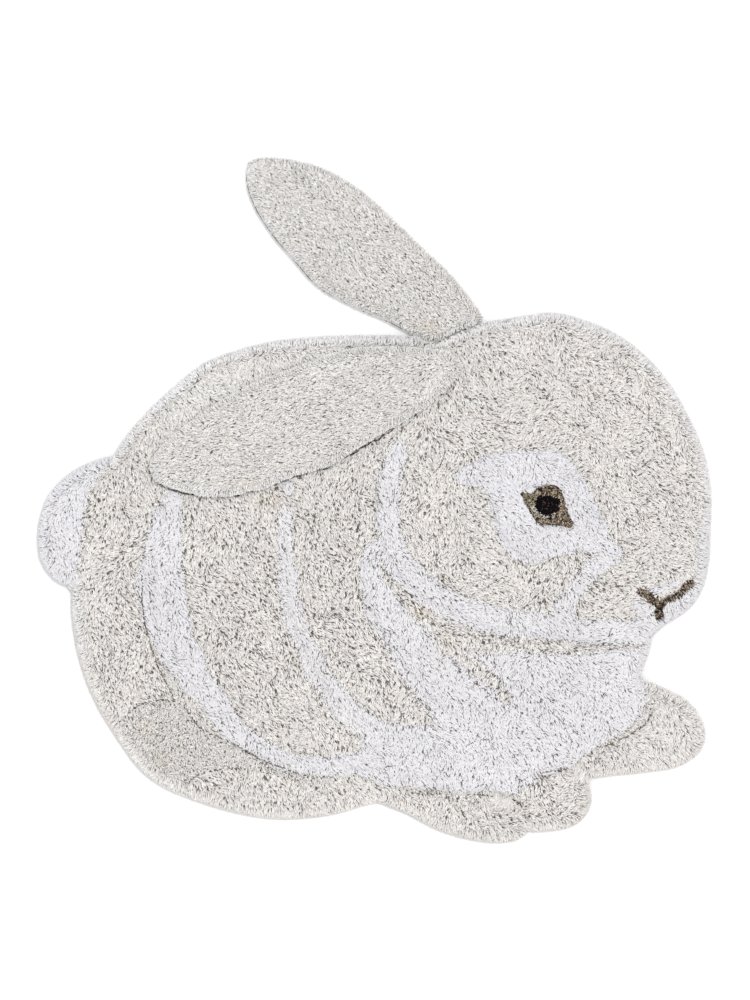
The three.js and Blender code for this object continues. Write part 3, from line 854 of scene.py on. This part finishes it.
def grow(cloth, x, y, yarn, seed, way=None, rim_from=27.0, rim_to=8.0, rim_lean=12.5, lift=0.0, free_of=None, border=None, ruffle=None, calm=1.0):
    """Strands from roots: each leans with its tuft, and near the edge of the cloth outwards over it."""
    p = YARNS[yarn]
    rng = np.random.default_rng(seed)
    n = len(x)
    cx, cy, own = tufts(x, y, p["tuft"], seed + 1)
    angle, dashes = combed(cx, cy) if way is None else (way(cx, cy), np.ones(n))
    angle = angle + (own[:, 0] - 0.5) * p.get("stray", 1.1) + rng.normal(0, 0.22, n)
    lean = np.maximum(p["lean"] + (own[:, 1] - 0.5) * 2 * p["spread"] + rng.normal(0, 0.5, n) * p["spread"] * 0.5, 0.8)
    if border is not None:
        lean = lean * (1 - 0.45 * border)
    dx, dy = lean * np.cos(angle), lean * np.sin(angle)
    dx += p["gather"] * (cx - x)
    dy += p["gather"] * (cy - y)
    depth = cloth.depth.at(x, y)
    w = 1 - ramp(depth, rim_to, rim_from)
    ox, oy = cloth.outwards(x, y)
    turn = rng.normal(0, 0.13, n) + 0.22 * noise(x, y, 16, seed + 5)
    ox, oy = ox * np.cos(turn) - oy * np.sin(turn), ox * np.sin(turn) + oy * np.cos(turn)
    out = rim_lean * (0.8 + 0.4 * own[:, 2]) * rng.uniform(0.85, 1.15, n)
    full = lean * (1 - w) + out * w
    dx, dy = dx * (1 - w) + ox * out * w, dy * (1 - w) + oy * out * w
    # where two ways part, the strands still lie over
    more = np.maximum(0.8 * full / np.maximum(np.hypot(dx, dy), 0.5), 1.0)
    dx, dy = dx * more, dy * more
    for _ in range(2):
        inside = np.zeros(n, bool)
        if free_of is not None:
            for t in (0.45, 0.75, 1.0):
                inside |= free_of(x + t * dx, y + t * dy)
        # a strand beside the eye or the mouth leans away from it, or else stands
        dx, dy = np.where(inside, -dx * (0.8 if _ == 0 else 0.1), dx), np.where(inside, -dy * (0.8 if _ == 0 else 0.1), dy)
    tx, ty = x + dx, y + dy
    # no tip passes the outline by much
    over = -cloth.depth.at(tx, ty) - 0.5 - 0.6 * rng.random(n)
    if ruffle is not None:
        over = over - ruffle(tx, ty)
    back = np.clip(over, 0, None)
    tx, ty = tx - ox * back, ty - oy * back
    top = cloth.top.at(tx, ty)
    tip_depth = cloth.depth.at(tx, ty)
    sink = p["sink"] * (own[:, 3] * 0.5 + rng.random(n) * 1.1) * (1 - 0.6 * w)
    tz = top - sink + lift
    tz = np.where(tip_depth < 0, np.minimum(tz, cloth.low + 9.0 - 1.5 * rng.random(n)), tz)
    rz = np.maximum(cloth.top.at(x, y) - p["deep"] * rng.uniform(0.20, 1.05, n) - 0.3, cloth.low + 1.0)
    radius = p["radius"] * rng.uniform(0.85, 1.15, n) * (1 - 0.22 * w)
    share = (p["hollow"] * calm * dashes + (0 if border is None else 0.16 * border)) * (1 - w) ** 2 * (1 + 0.25 * noise(x, y, 34, seed + 6) + 0.35 * noise(x, y, 12, seed + 7))
    # near the edge, all round but below, no strands are sunk and painted dark, so the edge reads pale
    share = np.clip(share * (1 - (1 - ramp(depth, 0.55 * rim_from, 1.2 * rim_from)) * ramp(y, -300, -180)), 1e-4, 0.6)
    # each tuft parts from the next at one spot of sunk strands painted dark as shade, or at none
    some = np.clip(share / 0.12, 0, 0.92)
    way_out = 2 * math.pi * own[:, 2]
    spot_x, spot_y = cx + 0.36 * p["tuft"] * np.cos(way_out), cy + 0.36 * p["tuft"] * np.sin(way_out)
    spot = p["tuft"] * np.sqrt(share / some / math.pi) * (0.8 + 0.4 * own[:, 1])
    hollow = ((np.hypot(x - spot_x, y - spot_y) < spot) & ((own[:, 0] * 7.0) % 1.0 < some)).astype(float)
    tz = tz - 0.9 * hollow
    tx, ty = x + (tx - x) * (1 - (1 - p["speck"]) * hollow), y + (ty - y) * (1 - (1 - p["speck"]) * hollow)
    out_x, out_y = cloth.outwards(tx, ty)
    # painted shade on the strands near the edge of the cloth, stronger on edges that face +X and +Y
    rim_shade = (1 - ramp(tip_depth, 0.5, 11.0)) * (0.02 + 0.09 * ramp(out_x + 0.6 * out_y, -0.6, 0.7))
    return dict(root=np.stack([x, y, rz], 1), tip=np.stack([tx, ty, tz], 1), radius=radius, rim=w, own=own, hollow=hollow, rim_shade=rim_shade, seed=seed + 9, roll=p.get("roll", 0.22))


def side_strands(cloth, count, yarn, seed, keep=None, low=1.2, high=9.5, inset=7.0, ruffle=None):
    """Strands that cover the side of a cloth, from its base outwards and down."""
    rng = np.random.default_rng(seed)
    seg = cloth.segments
    size = np.hypot(seg[:, 2] - seg[:, 0], seg[:, 3] - seg[:, 1])
    pick = rng.choice(len(seg), count, p=size / size.sum())
    t = rng.random(count)
    x = seg[pick, 0] + t * (seg[pick, 2] - seg[pick, 0])
    y = seg[pick, 1] + t * (seg[pick, 3] - seg[pick, 1])
    ox, oy = cloth.outwards(x, y)
    if keep is not None:
        k = keep(x, y)
        x, y, ox, oy = x[k], y[k], ox[k], oy[k]
    n = len(x)
    turn = rng.normal(0, 0.22, n)
    lx, ly = ox * np.cos(turn) - oy * np.sin(turn), ox * np.sin(turn) + oy * np.cos(turn)
    share = rng.random(n)
    tz = cloth.low + low + (high - low) * share
    gap = rng.uniform(-1.3, -0.5, n) + 0.3 * noise(x, y, 11, seed + 3)
    if ruffle is not None:
        gap = gap + ruffle(x, y)
    tx, ty = x + ox * gap, y + oy * gap
    back = inset * rng.uniform(0.95, 1.3, n)
    rx, ry = tx - lx * back, ty - ly * back
    rz = np.minimum(tz + rng.uniform(0.5, 3.0, n), cloth.low + high)
    p = YARNS[yarn]
    radius = p["radius"] * 0.85 * rng.uniform(0.85, 1.15, n)
    own = rng.random((n, 5))
    # painted shade on the side strands, stronger on edges that face +X and +Y
    return dict(root=np.stack([rx, ry, rz], 1), tip=np.stack([tx, ty, tz], 1), radius=radius, rim=np.ones(n), own=own,
                hollow=np.zeros(n), rim_shade=0.02 + 0.10 * ramp(ox + 0.6 * oy, -0.6, 0.7), seed=seed + 9, roll=0.6)


def mixed(a, b, share):
    """A colour for each strand, from a to b."""
    return np.array(a) * (1 - share[:, None]) + np.array(b) * share[:, None]


def paint(s, colour, dark, seed, vary=0.07, rim_colour=None, rim_share=None):
    """Colour of each strand: its yarn, a paler rim colour painted as light along the edge, painted warm shade in some
    places and painted shade at the edge, and how much darker its root is painted, as shade down in the pile.
    """
    n = len(s["root"])
    rng = np.random.default_rng(seed)
    base = np.broadcast_to(np.array(colour, float), (n, 3)).copy()
    if rim_colour is not None:
        w = (s["rim"] * (1 if rim_share is None else rim_share))[:, None]
        base = base * (1 - w) + np.array(rim_colour) * w
    # painted warm shade at the places listed above
    for row in WARM_SHADE:
        near = np.exp(-2 * (((s["root"][:, 0] - row["x"]) / (row["across"] / 2)) ** 2 + ((s["root"][:, 1] - row["y"]) / (row["up"] / 2)) ** 2))
        base *= 1 - (row["share"] * near)[:, None] * (0.03, 0.075, 0.15)
    value = 1 + rng.normal(0, vary, n) + (s["own"][:, 4] - 0.5) * vary * 0.7
    warm = rng.normal(0, 0.012, n)
    base *= value[:, None]
    base[:, 0] *= 1 + warm
    base[:, 2] *= 1 - warm
    # painted shade near the edge of the cloth
    base *= 1 - s["rim_shade"][:, None]
    s["tone"] = np.clip(base, 0.002, 0.92)
    # the root is painted darker as shade down in the pile, darker still on sunk strands
    s["dark"] = np.clip(np.full(n, dark) * rng.uniform(0.8, 1.15, n), 0, 1) * (1 - 0.80 * s["hollow"])
    return s


def part(s, k):
    return {name: (v[k] if isinstance(v, np.ndarray) else v) for name, v in s.items()}


def joined(*sets):
    out = {name: np.concatenate([s[name] for s in sets]) for name in ("root", "tip", "radius", "rim", "own", "hollow", "rim_shade", "tone", "dark")}
    out["seed"], out["roll"] = sets[0]["seed"], sets[0]["roll"]
    return out


# roots over the body, once for each yarn, kept where that yarn belongs
covered = ear_lying.depth


def on_body(pitch, seed, inset):
    """Roots over the body, with twice as many in a narrow strip along its edge."""
    x, y = rows_of_roots(body.box, pitch, seed)
    k = (body.depth.at(x, y) > inset) & (covered.at(x, y) < 10)
    x2, y2 = rows_of_roots(body.box, pitch, seed + 7)
    k2 = (body.depth.at(x2, y2) > inset - 0.5) & (body.depth.at(x2, y2) < 15) & (covered.at(x2, y2) < 4)
    return np.concatenate([x[k], x2[k2]]), np.concatenate([y[k], y2[k2]])



def shown_at(x, y, yarn):
    """Where over the body a strand with its root at x, y shows."""
    angle = combed(x, y)[0]
    w = 1 - ramp(body.depth.at(x, y), 8, 27)
    ox, oy = body.outwards(x, y)
    far = 0.62 * YARNS[yarn]["lean"] * (1 - w)
    return x + far * np.cos(angle) + 7.5 * w * ox, y + far * np.sin(angle) + 7.5 * w * oy


sets = {}
for yarn, seed in (("beige", 100), ("white", 200), ("short", 300)):
    x, y = on_body(YARNS[yarn]["pitch"], seed, 4.5)
    at_x, at_y = shown_at(x, y, yarn)
    how = whiteness(at_x, at_y)
    white = how > 0
    short = in_outline(short_line, at_x, at_y) & ~white
    eye = in_outline(eye_line, x, y)
    mouth = in_mouth(x, y)
    mine = {"beige": ~white & ~short, "white": white & ~short, "short": short}[yarn] & ~eye & ~mouth
    x, y = x[mine], y[mine]
    # strands on a border between white and beige stand up more, and more of them are sunk and painted dark, as shade
    # where the two part
    border = np.zeros(len(x))
    for bx, by in ((3.2, 0), (-3.2, 0), (0, 3.2), (0, -3.2)):
        border = np.maximum(border, (whiteness(at_x[mine] + bx, at_y[mine] + by) > 0) != (yarn == "white"))
    # the white round the eye is smooth
    calm = 1 - 0.72 * np.exp(-2 * (((x - 262) / 105) ** 2 + ((y + 6) / 100) ** 2)) * (yarn == "white")
    calm = calm - 0.45 * np.exp(-2 * (((x - 466) / 90) ** 2 + ((y + 362) / 70) ** 2)) * (yarn == "beige")
    s = grow(body, x, y, yarn, seed, border=border * 1.0, calm=calm, free_of=lambda px, py: in_outline(eye_line, px, py) | in_mouth(px, py, -0.5))
    s["x"], s["y"], s["how"] = x, y, how[mine]
    sets[yarn] = s

# painted light: the edge is painted paler and cooler, except along the lower edge
lit_rim = lambda x, y: ramp(y, -300, -180)  # noqa: E731  the lower edge keeps the coat's own colour

s = sets["beige"]
paint(s, BEIGE, 0.85, 101, 0.085, PALE, lit_rim(s["x"], s["y"]))
for row in PALER:
    near = row["share"] * np.exp(-2 * (((s["x"] - row["x"]) / (row["across"] / 2)) ** 2 + ((s["y"] - row["y"]) / (row["up"] / 2)) ** 2))
    s["tone"] = np.clip(s["tone"] * (1 + near[:, None] * (0.035, 0.05, 0.07)), 0.002, 0.92)
s = sets["white"]
paint(s, mixed(BEIGE, WHITE, s["how"]), 0.90, 201, 0.028)
s = sets["short"]
paint(s, SHORT, 0.80, 301, 0.135)

side = side_strands(body, 11000, "beige", 400)
white_side = whiteness(side["tip"][:, 0], side["tip"][:, 1]) > 0
# the side strands are painted darker than the pile on top: painted shade on the side of the cloth
paint(side, np.array(BEIGE) * 0.93, 0.75, 401, 0.06, np.array(PALE) * 0.93, lit_rim(side["tip"][:, 0], side["tip"][:, 1]))
white_part = part(side, white_side)
# the white side strands are painted darker too: painted shade
paint(white_part, np.array(WHITE) * 0.94, 0.75, 402, 0.05)
beige_part = part(side, ~white_side)

pieces = []


def add(name, s, mat):
    if len(s["root"]):
        pieces.append(strand_mesh(name, s, mat))


def split_beige(s):
    """The beige pile by region, so that no piece is too large."""
    x, y = s["root"][:, 0], s["root"][:, 1]
    head = (x > 20) & (y > -200)
    haunch = ~head & (x < -140)
    upper = haunch & (y > -60)
    return [
        ("pile_head_upper", head & (y > 120)),
        ("pile_head_lower", head & (y <= 120)),
        ("pile_haunch_upper", upper),
        ("pile_haunch_lower", haunch & ~upper),
        ("pile_flank", ~head & ~haunch & (y > -430)),
        ("pile_paws", ~head & ~haunch & (y <= -430)),
    ]


all_beige = joined(sets["beige"], beige_part)
for name, k in split_beige(all_beige):
    add(name, part(all_beige, k), beige_yarn)
all_white = joined(sets["white"], white_part)
low = all_white["root"][:, 1] < -215
for name, k in (("pile_white_markings", ~low), ("pile_white_chest", low)):
    add(name, part(all_white, k), white_yarn)
add("pile_hind_foot", sets["short"], beige_yarn)


# ears
def along(ax, ay, bx, by):
    return math.atan2(by - ay, bx - ax)


ear_pieces = {}
for cloth, seed, way0, name in (
    (ear_raised, 500, along(130, 270, -200, 530), "pile_ear_raised"),
    (ear_lying, 600, along(130, 215, -360, 50), "pile_ear_lying"),
):
    x, y = rows_of_roots(cloth.box, YARNS["ear"]["pitch"], seed)
    k = cloth.depth.at(x, y) > 3.2
    x, y = x[k], y[k]
    way = lambda cx, cy, a=way0, sd=seed: a + 0.40 * noise(cx, cy, 44, sd + 31) + 0.35 * noise(cx, cy, 15, sd + 32)  # noqa: E731
    # the lower edge of the lying ear is ruffled
    ruffle = None
    if cloth is ear_lying:
        ruffle = lambda rx, ry: (2.4 * noise(rx, ry, 17, 77) + 1.8 * noise(rx, ry, 7, 78)) * ramp(-ear_lying.outwards(rx, ry)[1], 0.0, 0.6)  # noqa: E731
    s = grow(cloth, x, y, "ear", seed, way, rim_from=17, rim_to=6, rim_lean=7.5, ruffle=ruffle)
    # painted light: the ear's edge is painted paler and cooler
    paint(s, EAR, 0.85, seed + 2, 0.14, np.array(EAR) * (1.065, 1.08, 1.095))
    edge = side_strands(cloth, 3200, "ear", seed + 50, low=1.0, high=8.5 if name.endswith("raised") else 7.0, inset=5.0, ruffle=ruffle)
    # the side strands are painted darker than the pile on top: painted shade on the side of the ear
    paint(edge, np.array(EAR) * (0.96, 0.97, 0.98), 0.75, seed + 3, 0.07)
    both = joined(s, edge)
    add(name, both, beige_yarn)
    ear_pieces[name] = pieces[-1]

# eye
x, y = rows_of_roots((225, 325, -55, 35), YARNS["eye"]["pitch"], 700)
k = in_outline(eye_line, x, y)
x, y = x[k], y[k]
s = grow(body, x, y, "eye", 701, free_of=lambda px, py: ~in_outline(eye_line, px, py))
mx, my = (s["root"][:, 0] + s["tip"][:, 0]) / 2, (s["root"][:, 1] + s["tip"][:, 1]) / 2
out = np.hypot((mx - PUPIL["x"]) / (PUPIL["across"] / 2), (my - PUPIL["y"]) / (PUPIL["up"] / 2)) + 0.12 * noise(mx, my, 4, 71)
ends = [np.hypot((px - PUPIL["x"]) / (PUPIL["across"] / 2), (py - PUPIL["y"]) / (PUPIL["up"] / 2))
        for px, py in (s["root"][:, :2].T, s["tip"][:, :2].T)]
pupil = (out < 0.98) | (np.minimum(*ends) < 0.84)
iris = part(s, ~pupil)
mx, my, out = mx[~pupil], my[~pupil], out[~pupil]
rng = np.random.default_rng(72)
kind = rng.random(len(mx))
lid = (mx < 258) | (my - PUPIL["y"] < -1.5 * (mx - 245))
glint = (out < 1.26) & (my < PUPIL["y"] + 3) & (mx < PUPIL["x"] + 12)
top = my > PUPIL["y"] + 12
tone = np.where((kind < np.where(top, 0.37, 0.34))[:, None], (0.030, 0.019, 0.012), np.where((kind < 0.70)[:, None], (0.26, 0.185, 0.120), (0.74, 0.62, 0.49)))
tone = np.where((lid & (kind < 0.85))[:, None], np.where((kind < 0.3)[:, None], (0.070, 0.060, 0.030), (0.36, 0.325, 0.205)), tone)
tone = np.where((glint & (kind > 0.42))[:, None], (0.80, 0.76, 0.70), tone)
shore = ~in_outline(eye_line, mx - 2.2, my - 2.2)
tone = np.where((shore & (mx < 300) & (kind < 0.75))[:, None], (0.055, 0.046, 0.024), tone)
paint(iris, (1, 1, 1), 0.35, 702, 0.15)
iris["tone"] = np.clip(iris["tone"] * tone, 0.002, 0.9)
add("eye_iris", iris, brown_yarn_and_painted_shade)
black = part(s, pupil)
paint(black, (0.004, 0.002, 0.004), 0.6, 703, 0.2)
brownish = np.random.default_rng(73).random(len(black["tone"])) < 0.04
black["tone"][brownish] = (0.13, 0.095, 0.085)
add("eye_pupil", black, black_yarn)

# mouth
x, y = rows_of_roots((405, 525, -210, -110), YARNS["mouth"]["pitch"], 800)
k = in_mouth(x, y, 0.3)
x, y = x[k], y[k]
best, ang = np.full(len(x), 1e9), np.zeros(len(x))
for line in mouth_lines.values():
    far, _ = to_band(line, x, y)
    d = line[-1, :2] - line[0, :2]
    near = far < best
    best[near], ang[near] = far[near], math.atan2(d[1], d[0]) + math.pi / 2
rng = np.random.default_rng(801)
ang += np.where(rng.random(len(x)) < 0.5, math.pi, 0.0)
s = grow(body, x, y, "mouth", 810, way=lambda cx, cy: ang, rim_from=4, rim_to=2)
rng = np.random.default_rng(802)
kind = rng.random(len(x))
tone = np.where((kind < 0.36)[:, None], (0.026, 0.018, 0.012), np.where((kind < 0.68)[:, None], (0.205, 0.146, 0.098), (0.60, 0.50, 0.40)))
paint(s, (1, 1, 1), 0.35, 803, 0.15)
s["tone"] = np.clip(s["tone"] * tone, 0.002, 0.9)
add("mouth", s, brown_yarn_and_painted_shade)

# folds: strands painted dark, as shade in the folds and carved lines
def fold_strands(x, y, way, z, keep, seed, radius=0.85, length=5.5, wild=0.35, dark=0.6):
    """Short strands lying along a fold, painted dark as shade in it."""
    rng = np.random.default_rng(seed)
    k = rng.random(len(x)) < keep
    x, y, way, z = x[k], y[k], way[k], z[k]
    n = len(x)
    way = way + rng.normal(0, wild, n) + np.where(rng.random(n) < 0.5, math.pi, 0.0)
    half = length * rng.uniform(0.35, 0.65, n)
    dx, dy = half * np.cos(way), half * np.sin(way)
    lift = rng.uniform(-0.4, 0.5, (2, n))
    s = dict(root=np.stack([x - dx, y - dy, z + lift[0]], 1), tip=np.stack([x + dx, y + dy, z + lift[1]], 1),
             radius=radius * rng.uniform(0.7, 1.2, n), rim=np.zeros(n), own=rng.random((n, 5)), hollow=np.zeros(n), rim_shade=np.zeros(n), seed=seed + 1, roll=0.3)
    paint(s, (1, 1, 1), 0.8, seed + 2, 0.2)
    kind = rng.random(n)
    # two darknesses of painted shade
    tone = np.where((kind < dark)[:, None], (0.050, 0.040, 0.030), (0.230, 0.185, 0.135))
    s["tone"] = np.clip(s["tone"] * tone, 0.002, 0.9)
    return s


folds = []
for number, rows in enumerate(FOLDS.values()):
    line = smooth_open(rows, 1.2)
    fill = np.interp(np.linspace(0, 1, len(line)), np.linspace(0, 1, len(rows)), [r["fill"] for r in rows])
    way = np.arctan2(np.gradient(line[:, 1]), np.gradient(line[:, 0]))
    for again in range(2):
        rng = np.random.default_rng(900 + 10 * number + again)
        off = rng.uniform(-1, 1, len(line)) * line[:, 2]
        x, y = line[:, 0] - off * np.sin(way), line[:, 1] + off * np.cos(way)
        z = np.maximum(body.top.at(x, y), ear_raised.top.at(x, y)) + 0.1
        folds.append(fold_strands(x, y, way, z, fill, 910 + 10 * number + again, radius=0.72, length=4.6, dark=0.5))

# painted shade under the lying ear: dark strands along its edge, strongest below it
seg = ear_lying.segments
rng = np.random.default_rng(950)
size = np.hypot(seg[:, 2] - seg[:, 0], seg[:, 3] - seg[:, 1])
pick = rng.choice(len(seg), 2600, p=size / size.sum())
t = rng.random(len(pick))
x = seg[pick, 0] + t * (seg[pick, 2] - seg[pick, 0])
y = seg[pick, 1] + t * (seg[pick, 3] - seg[pick, 1])
ox, oy = ear_lying.outwards(x, y)
way = np.arctan2(seg[pick, 3] - seg[pick, 1], seg[pick, 2] - seg[pick, 0])
below = ramp(-oy, 0.1, 0.7) * (1 - ramp(x, 20, 90))
lumps = np.clip(0.2 + 1.1 * noise(x, y, 13, 951) + 0.7 * noise(x, y, 6, 952), 0, 2)
off = 0.0 + (1.0 + 2.0 * below * lumps) * rng.random(len(x)) - ruffle(x, y)
x, y = x + ox * off, y + oy * off
keep = np.clip(0.10 + 0.75 * below, 0, 1) * np.clip(0.50 + 1.3 * noise(x, y, 11, 953) + 0.5 * lumps, 0.06, 1)
keep = np.where(body.depth.at(x, y) > 4, keep, 0.0)
folds.append(fold_strands(x, y, way, body.top.at(x, y) + 0.35, keep, 954, radius=0.70, length=3.8, wild=0.8, dark=0.7))

# a thin line of painted shade: dark strands along the lower edge of the raised ear
seg = ear_raised.segments
size = np.hypot(seg[:, 2] - seg[:, 0], seg[:, 3] - seg[:, 1])
pick = rng.choice(len(seg), 1500, p=size / size.sum())
t = rng.random(len(pick))
x = seg[pick, 0] + t * (seg[pick, 2] - seg[pick, 0])
y = seg[pick, 1] + t * (seg[pick, 3] - seg[pick, 1])
ox, oy = ear_raised.outwards(x, y)
way = np.arctan2(seg[pick, 3] - seg[pick, 1], seg[pick, 2] - seg[pick, 0])
keep = ramp(-ox - 0.6 * oy, 0.3, 1.0) * np.clip(0.18 + 0.8 * noise(x, y, 24, 961), 0, 0.7)
folds.append(fold_strands(x + ox * 0.9, y + oy * 0.9, way, np.full(len(x), ear_raised.low + 7.5), keep, 962, radius=0.55, length=4.5, dark=0.5))

# short cracks, where a row of tufts parts along the way the pile is combed, drawn as strands painted dark as shade
rng = np.random.default_rng(970)
cx, cy = rng.uniform(-490, 450, 1100), rng.uniform(-520, 290, 1100)
angle, dashes = combed(cx, cy)
k = (body.depth.at(cx, cy) > 26) & (ear_lying.depth.at(cx, cy) < -6) & ~in_outline(short_line, cx, cy)
k &= np.hypot((cx - 270) / 135, (cy + 5) / 105) > 1
k &= np.hypot((cx - 465) / 80, (cy + 165) / 70) > 1
k &= rng.random(len(cx)) < 0.30 * dashes
cracks = []
for start_x, start_y, heading in zip(cx[k], cy[k], angle[k]):
    count = int(rng.uniform(6, 20))
    turn = heading + rng.normal(0, 0.35) + np.cumsum(rng.normal(0, 0.20, count))
    cracks.append(np.stack([start_x + np.cumsum(1.7 * np.cos(turn)), start_y + np.cumsum(1.7 * np.sin(turn)), turn], 1))
cracks = np.concatenate(cracks)
x, y, way = cracks[:, 0], cracks[:, 1], cracks[:, 2]
keep = np.where((body.depth.at(x, y) > 20) & ~in_outline(short_line, x, y), 0.62, 0.0)
folds.append(fold_strands(x, y, way, body.top.at(x, y), keep, 971, radius=0.58, length=3.2, wild=0.5, dark=0.6))
# the strands painted dark as shade, in the folds, the cracks and along the ears, as one piece
add("pile_painted_shade_in_folds", joined(*folds), brown_yarn_and_painted_shade)

# ---------------------------------------------------------------- base cloths


def base_sheet(name, cloth, cell, inset, deep, low, thin):
    """A thin closed sheet under the pile: a lattice whose edge points are drawn onto the inset outline."""
    x = np.arange(cloth.box[0], cloth.box[1] + cell, cell)
    y = np.arange(cloth.box[2], cloth.box[3] + cell, cell)
    gx, gy = np.meshgrid(x, y)
    depth = cloth.depth.at(gx.ravel(), gy.ravel()).reshape(gx.shape) - inset
    keep = depth > -0.45 * cell
    cells = keep[:-1, :-1] & keep[1:, :-1] & keep[:-1, 1:] & keep[1:, 1:]
    # leave out cells that hang on by a corner only
    for _ in range(4):
        c = np.pad(cells, 1)
        beside = c[:-2, 1:-1].astype(int) + c[2:, 1:-1] + c[1:-1, :-2] + c[1:-1, 2:]
        cells &= beside >= 2
        a, b, d, e = cells[:-1, :-1], cells[1:, 1:], cells[:-1, 1:], cells[1:, :-1]
        pinch = (a & b & ~d & ~e) | (~a & ~b & d & e)
        i, j = np.nonzero(pinch)
        cells[i, j] = cells[i + 1, j + 1] = cells[i, j + 1] = cells[i + 1, j] = False
    used = np.zeros(gx.shape, bool)
    for di in (0, 1):
        for dj in (0, 1):
            used[di:used.shape[0] - 1 + di, dj:used.shape[1] - 1 + dj] |= cells
    index = np.full(gx.shape, -1)
    index[used] = np.arange(used.sum())
    px, py = gx[used], gy[used]
    edge = np.zeros(gx.shape, bool)
    c = np.pad(cells, 1)
    full = c[:-1, :-1] & c[1:, :-1] & c[:-1, 1:] & c[1:, 1:]
    edge[used & ~full] = True
    rim = edge[used]
    for _ in range(6):
        d = cloth.depth.at(px[rim], py[rim]) - inset
        ox, oy = cloth.outwards(px[rim], py[rim], 2.0)
        px[rim] += ox * np.clip(d, -cell, cell) * 0.8
        py[rim] += oy * np.clip(d, -cell, cell) * 0.8
    rough = thin * (noise(px, py, 17, 901) + 0.6 * noise(px, py, 9, 902))
    top = np.maximum(cloth.top.at(px, py) - deep + rough, low + 3.0)
    top[rim] = low + 0.55 * (top[rim] - low)
    n = len(px)
    i, j = np.nonzero(cells)
    a, b, c2, d2 = index[i, j], index[i, j + 1], index[i + 1, j + 1], index[i + 1, j]
    upper = np.concatenate([np.stack([a, b, c2], 1), np.stack([a, c2, d2], 1)])
    lower = upper[:, ::-1] + n
    edges = np.concatenate([upper[:, [0, 1]], upper[:, [1, 2]], upper[:, [2, 0]]])
    have = set(map(tuple, edges.tolist()))
    border = np.array([e for e in edges.tolist() if (e[1], e[0]) not in have])
    walls = np.concatenate([
        np.stack([border[:, 1], border[:, 0], border[:, 0] + n], 1),
        np.stack([border[:, 1], border[:, 0] + n, border[:, 1] + n], 1),
    ])
    points = np.concatenate([np.stack([px, py, top], 1), np.stack([px, py, np.full(n, low)], 1)])
    tone = np.broadcast_to(np.array(BASE_BEIGE), (n, 3)).copy()
    if cloth is body:
        tone[whiteness(px, py, False) > 0] = BASE_WHITE
        tone[in_outline(eye_line, px, py)] = (0.05, 0.04, 0.03)
        tone[in_mouth(px, py, 1.0)] = (0.10, 0.075, 0.055)
    tone = np.concatenate([tone, np.broadcast_to(np.array((0.45, 0.41, 0.36)), (n, 3))])
    o = new_mesh(name, points, np.concatenate([upper, lower, walls]), tone, base_cloth)
    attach(o, "root")
    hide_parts(cloth.node)
    return o


base_body = base_sheet("base_body", body, 9.0, 5.0, 3.6, 0.4, 0.5)
base_ear_raised = base_sheet("base_ear_raised", ear_raised, 6.0, 4.0, 2.8, 0.4, 0.3)
base_ear_lying = base_sheet("base_ear_lying", ear_lying, 6.0, 4.0, 2.8, 18.8, 0.3)

# ---------------------------------------------------------------- names of the ear pieces


ears = set(o.name for o in ear_pieces.values())

# ---------------------------------------------------------------- floor, light, camera

floor_mesh = bpy.data.meshes.new("floor")
ring = [(30 * math.cos(2 * math.pi * k / 64), 30 * math.sin(2 * math.pi * k / 64), -0.0004) for k in range(64)]
floor_mesh.from_pydata(ring, [], [tuple(range(64))])
floor = bpy.data.objects.new("floor", floor_mesh)
bpy.context.scene.collection.objects.link(floor)
floor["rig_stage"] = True
fm = bpy.data.materials.new("pale floor")
fm.use_nodes = True
ft = fm.node_tree
fs = ft.nodes["Principled BSDF"]
fs.inputs["Roughness"].default_value = 0.9
fs.inputs["Specular IOR Level"].default_value = 0.1
fs.inputs["Emission Color"].default_value = (1.0, 1.0, 1.0, 1.0)
fs.inputs["Emission Strength"].default_value = 0.10
fn = ft.nodes.new("ShaderNodeTexNoise")
fn.inputs["Scale"].default_value = 3.0
fr = ft.nodes.new("ShaderNodeMapRange")
fr.inputs["To Min"].default_value = 0.915
fr.inputs["To Max"].default_value = 0.93
fc = ft.nodes.new("ShaderNodeCombineColor")
ft.links.new(fn.outputs["Fac"], fr.inputs["Value"])
for k in range(3):
    ft.links.new(fr.outputs["Result"], fc.inputs[k])
ft.links.new(fc.outputs["Color"], fs.inputs["Base Color"])
floor_mesh.materials.append(fm)

world = bpy.data.worlds.new("studio")
bpy.context.scene.world = world
world.use_nodes = True
back = world.node_tree.nodes["Background"]
back.inputs["Color"].default_value = (1.0, 1.0, 1.0, 1.0)
back.inputs["Strength"].default_value = 0.84

sun_data = bpy.data.lights.new("soft key", "SUN")
sun_data.energy = 1.25
sun_data.angle = math.radians(14)
sun = bpy.data.objects.new("soft key", sun_data)
bpy.context.scene.collection.objects.link(sun)
sun.rotation_euler = (math.radians(-16), math.radians(20), 0.0)

cam_data = bpy.data.cameras.new("camera")
cam_data.type = "PERSP"
cam_data.lens = 85.0
cam_data.sensor_width = 36.0
cam_data.clip_end = 100.0
cam = bpy.data.objects.new("camera", cam_data)
cam.location = (0.0, 0.0, 0.018 + 0.8 * 85 / 18)
bpy.context.scene.collection.objects.link(cam)
bpy.context.scene.camera = cam

bpy.context.scene.view_settings.view_transform = "Standard"
bpy.context.scene.view_settings.look = "None"
bpy.context.scene.view_settings.exposure = 0.0

counts = {o.name: len(o.data.polygons) for o in bpy.context.scene.objects if o.type == "MESH" and "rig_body" in o and "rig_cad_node" not in o}
print("TRIANGLES", sum(counts.values()), counts)

bpy.context.view_layer.update()
size = {"cad": [list(map(float, c)) for c in cad_box], "visual": [list(map(float, c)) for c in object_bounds()]}
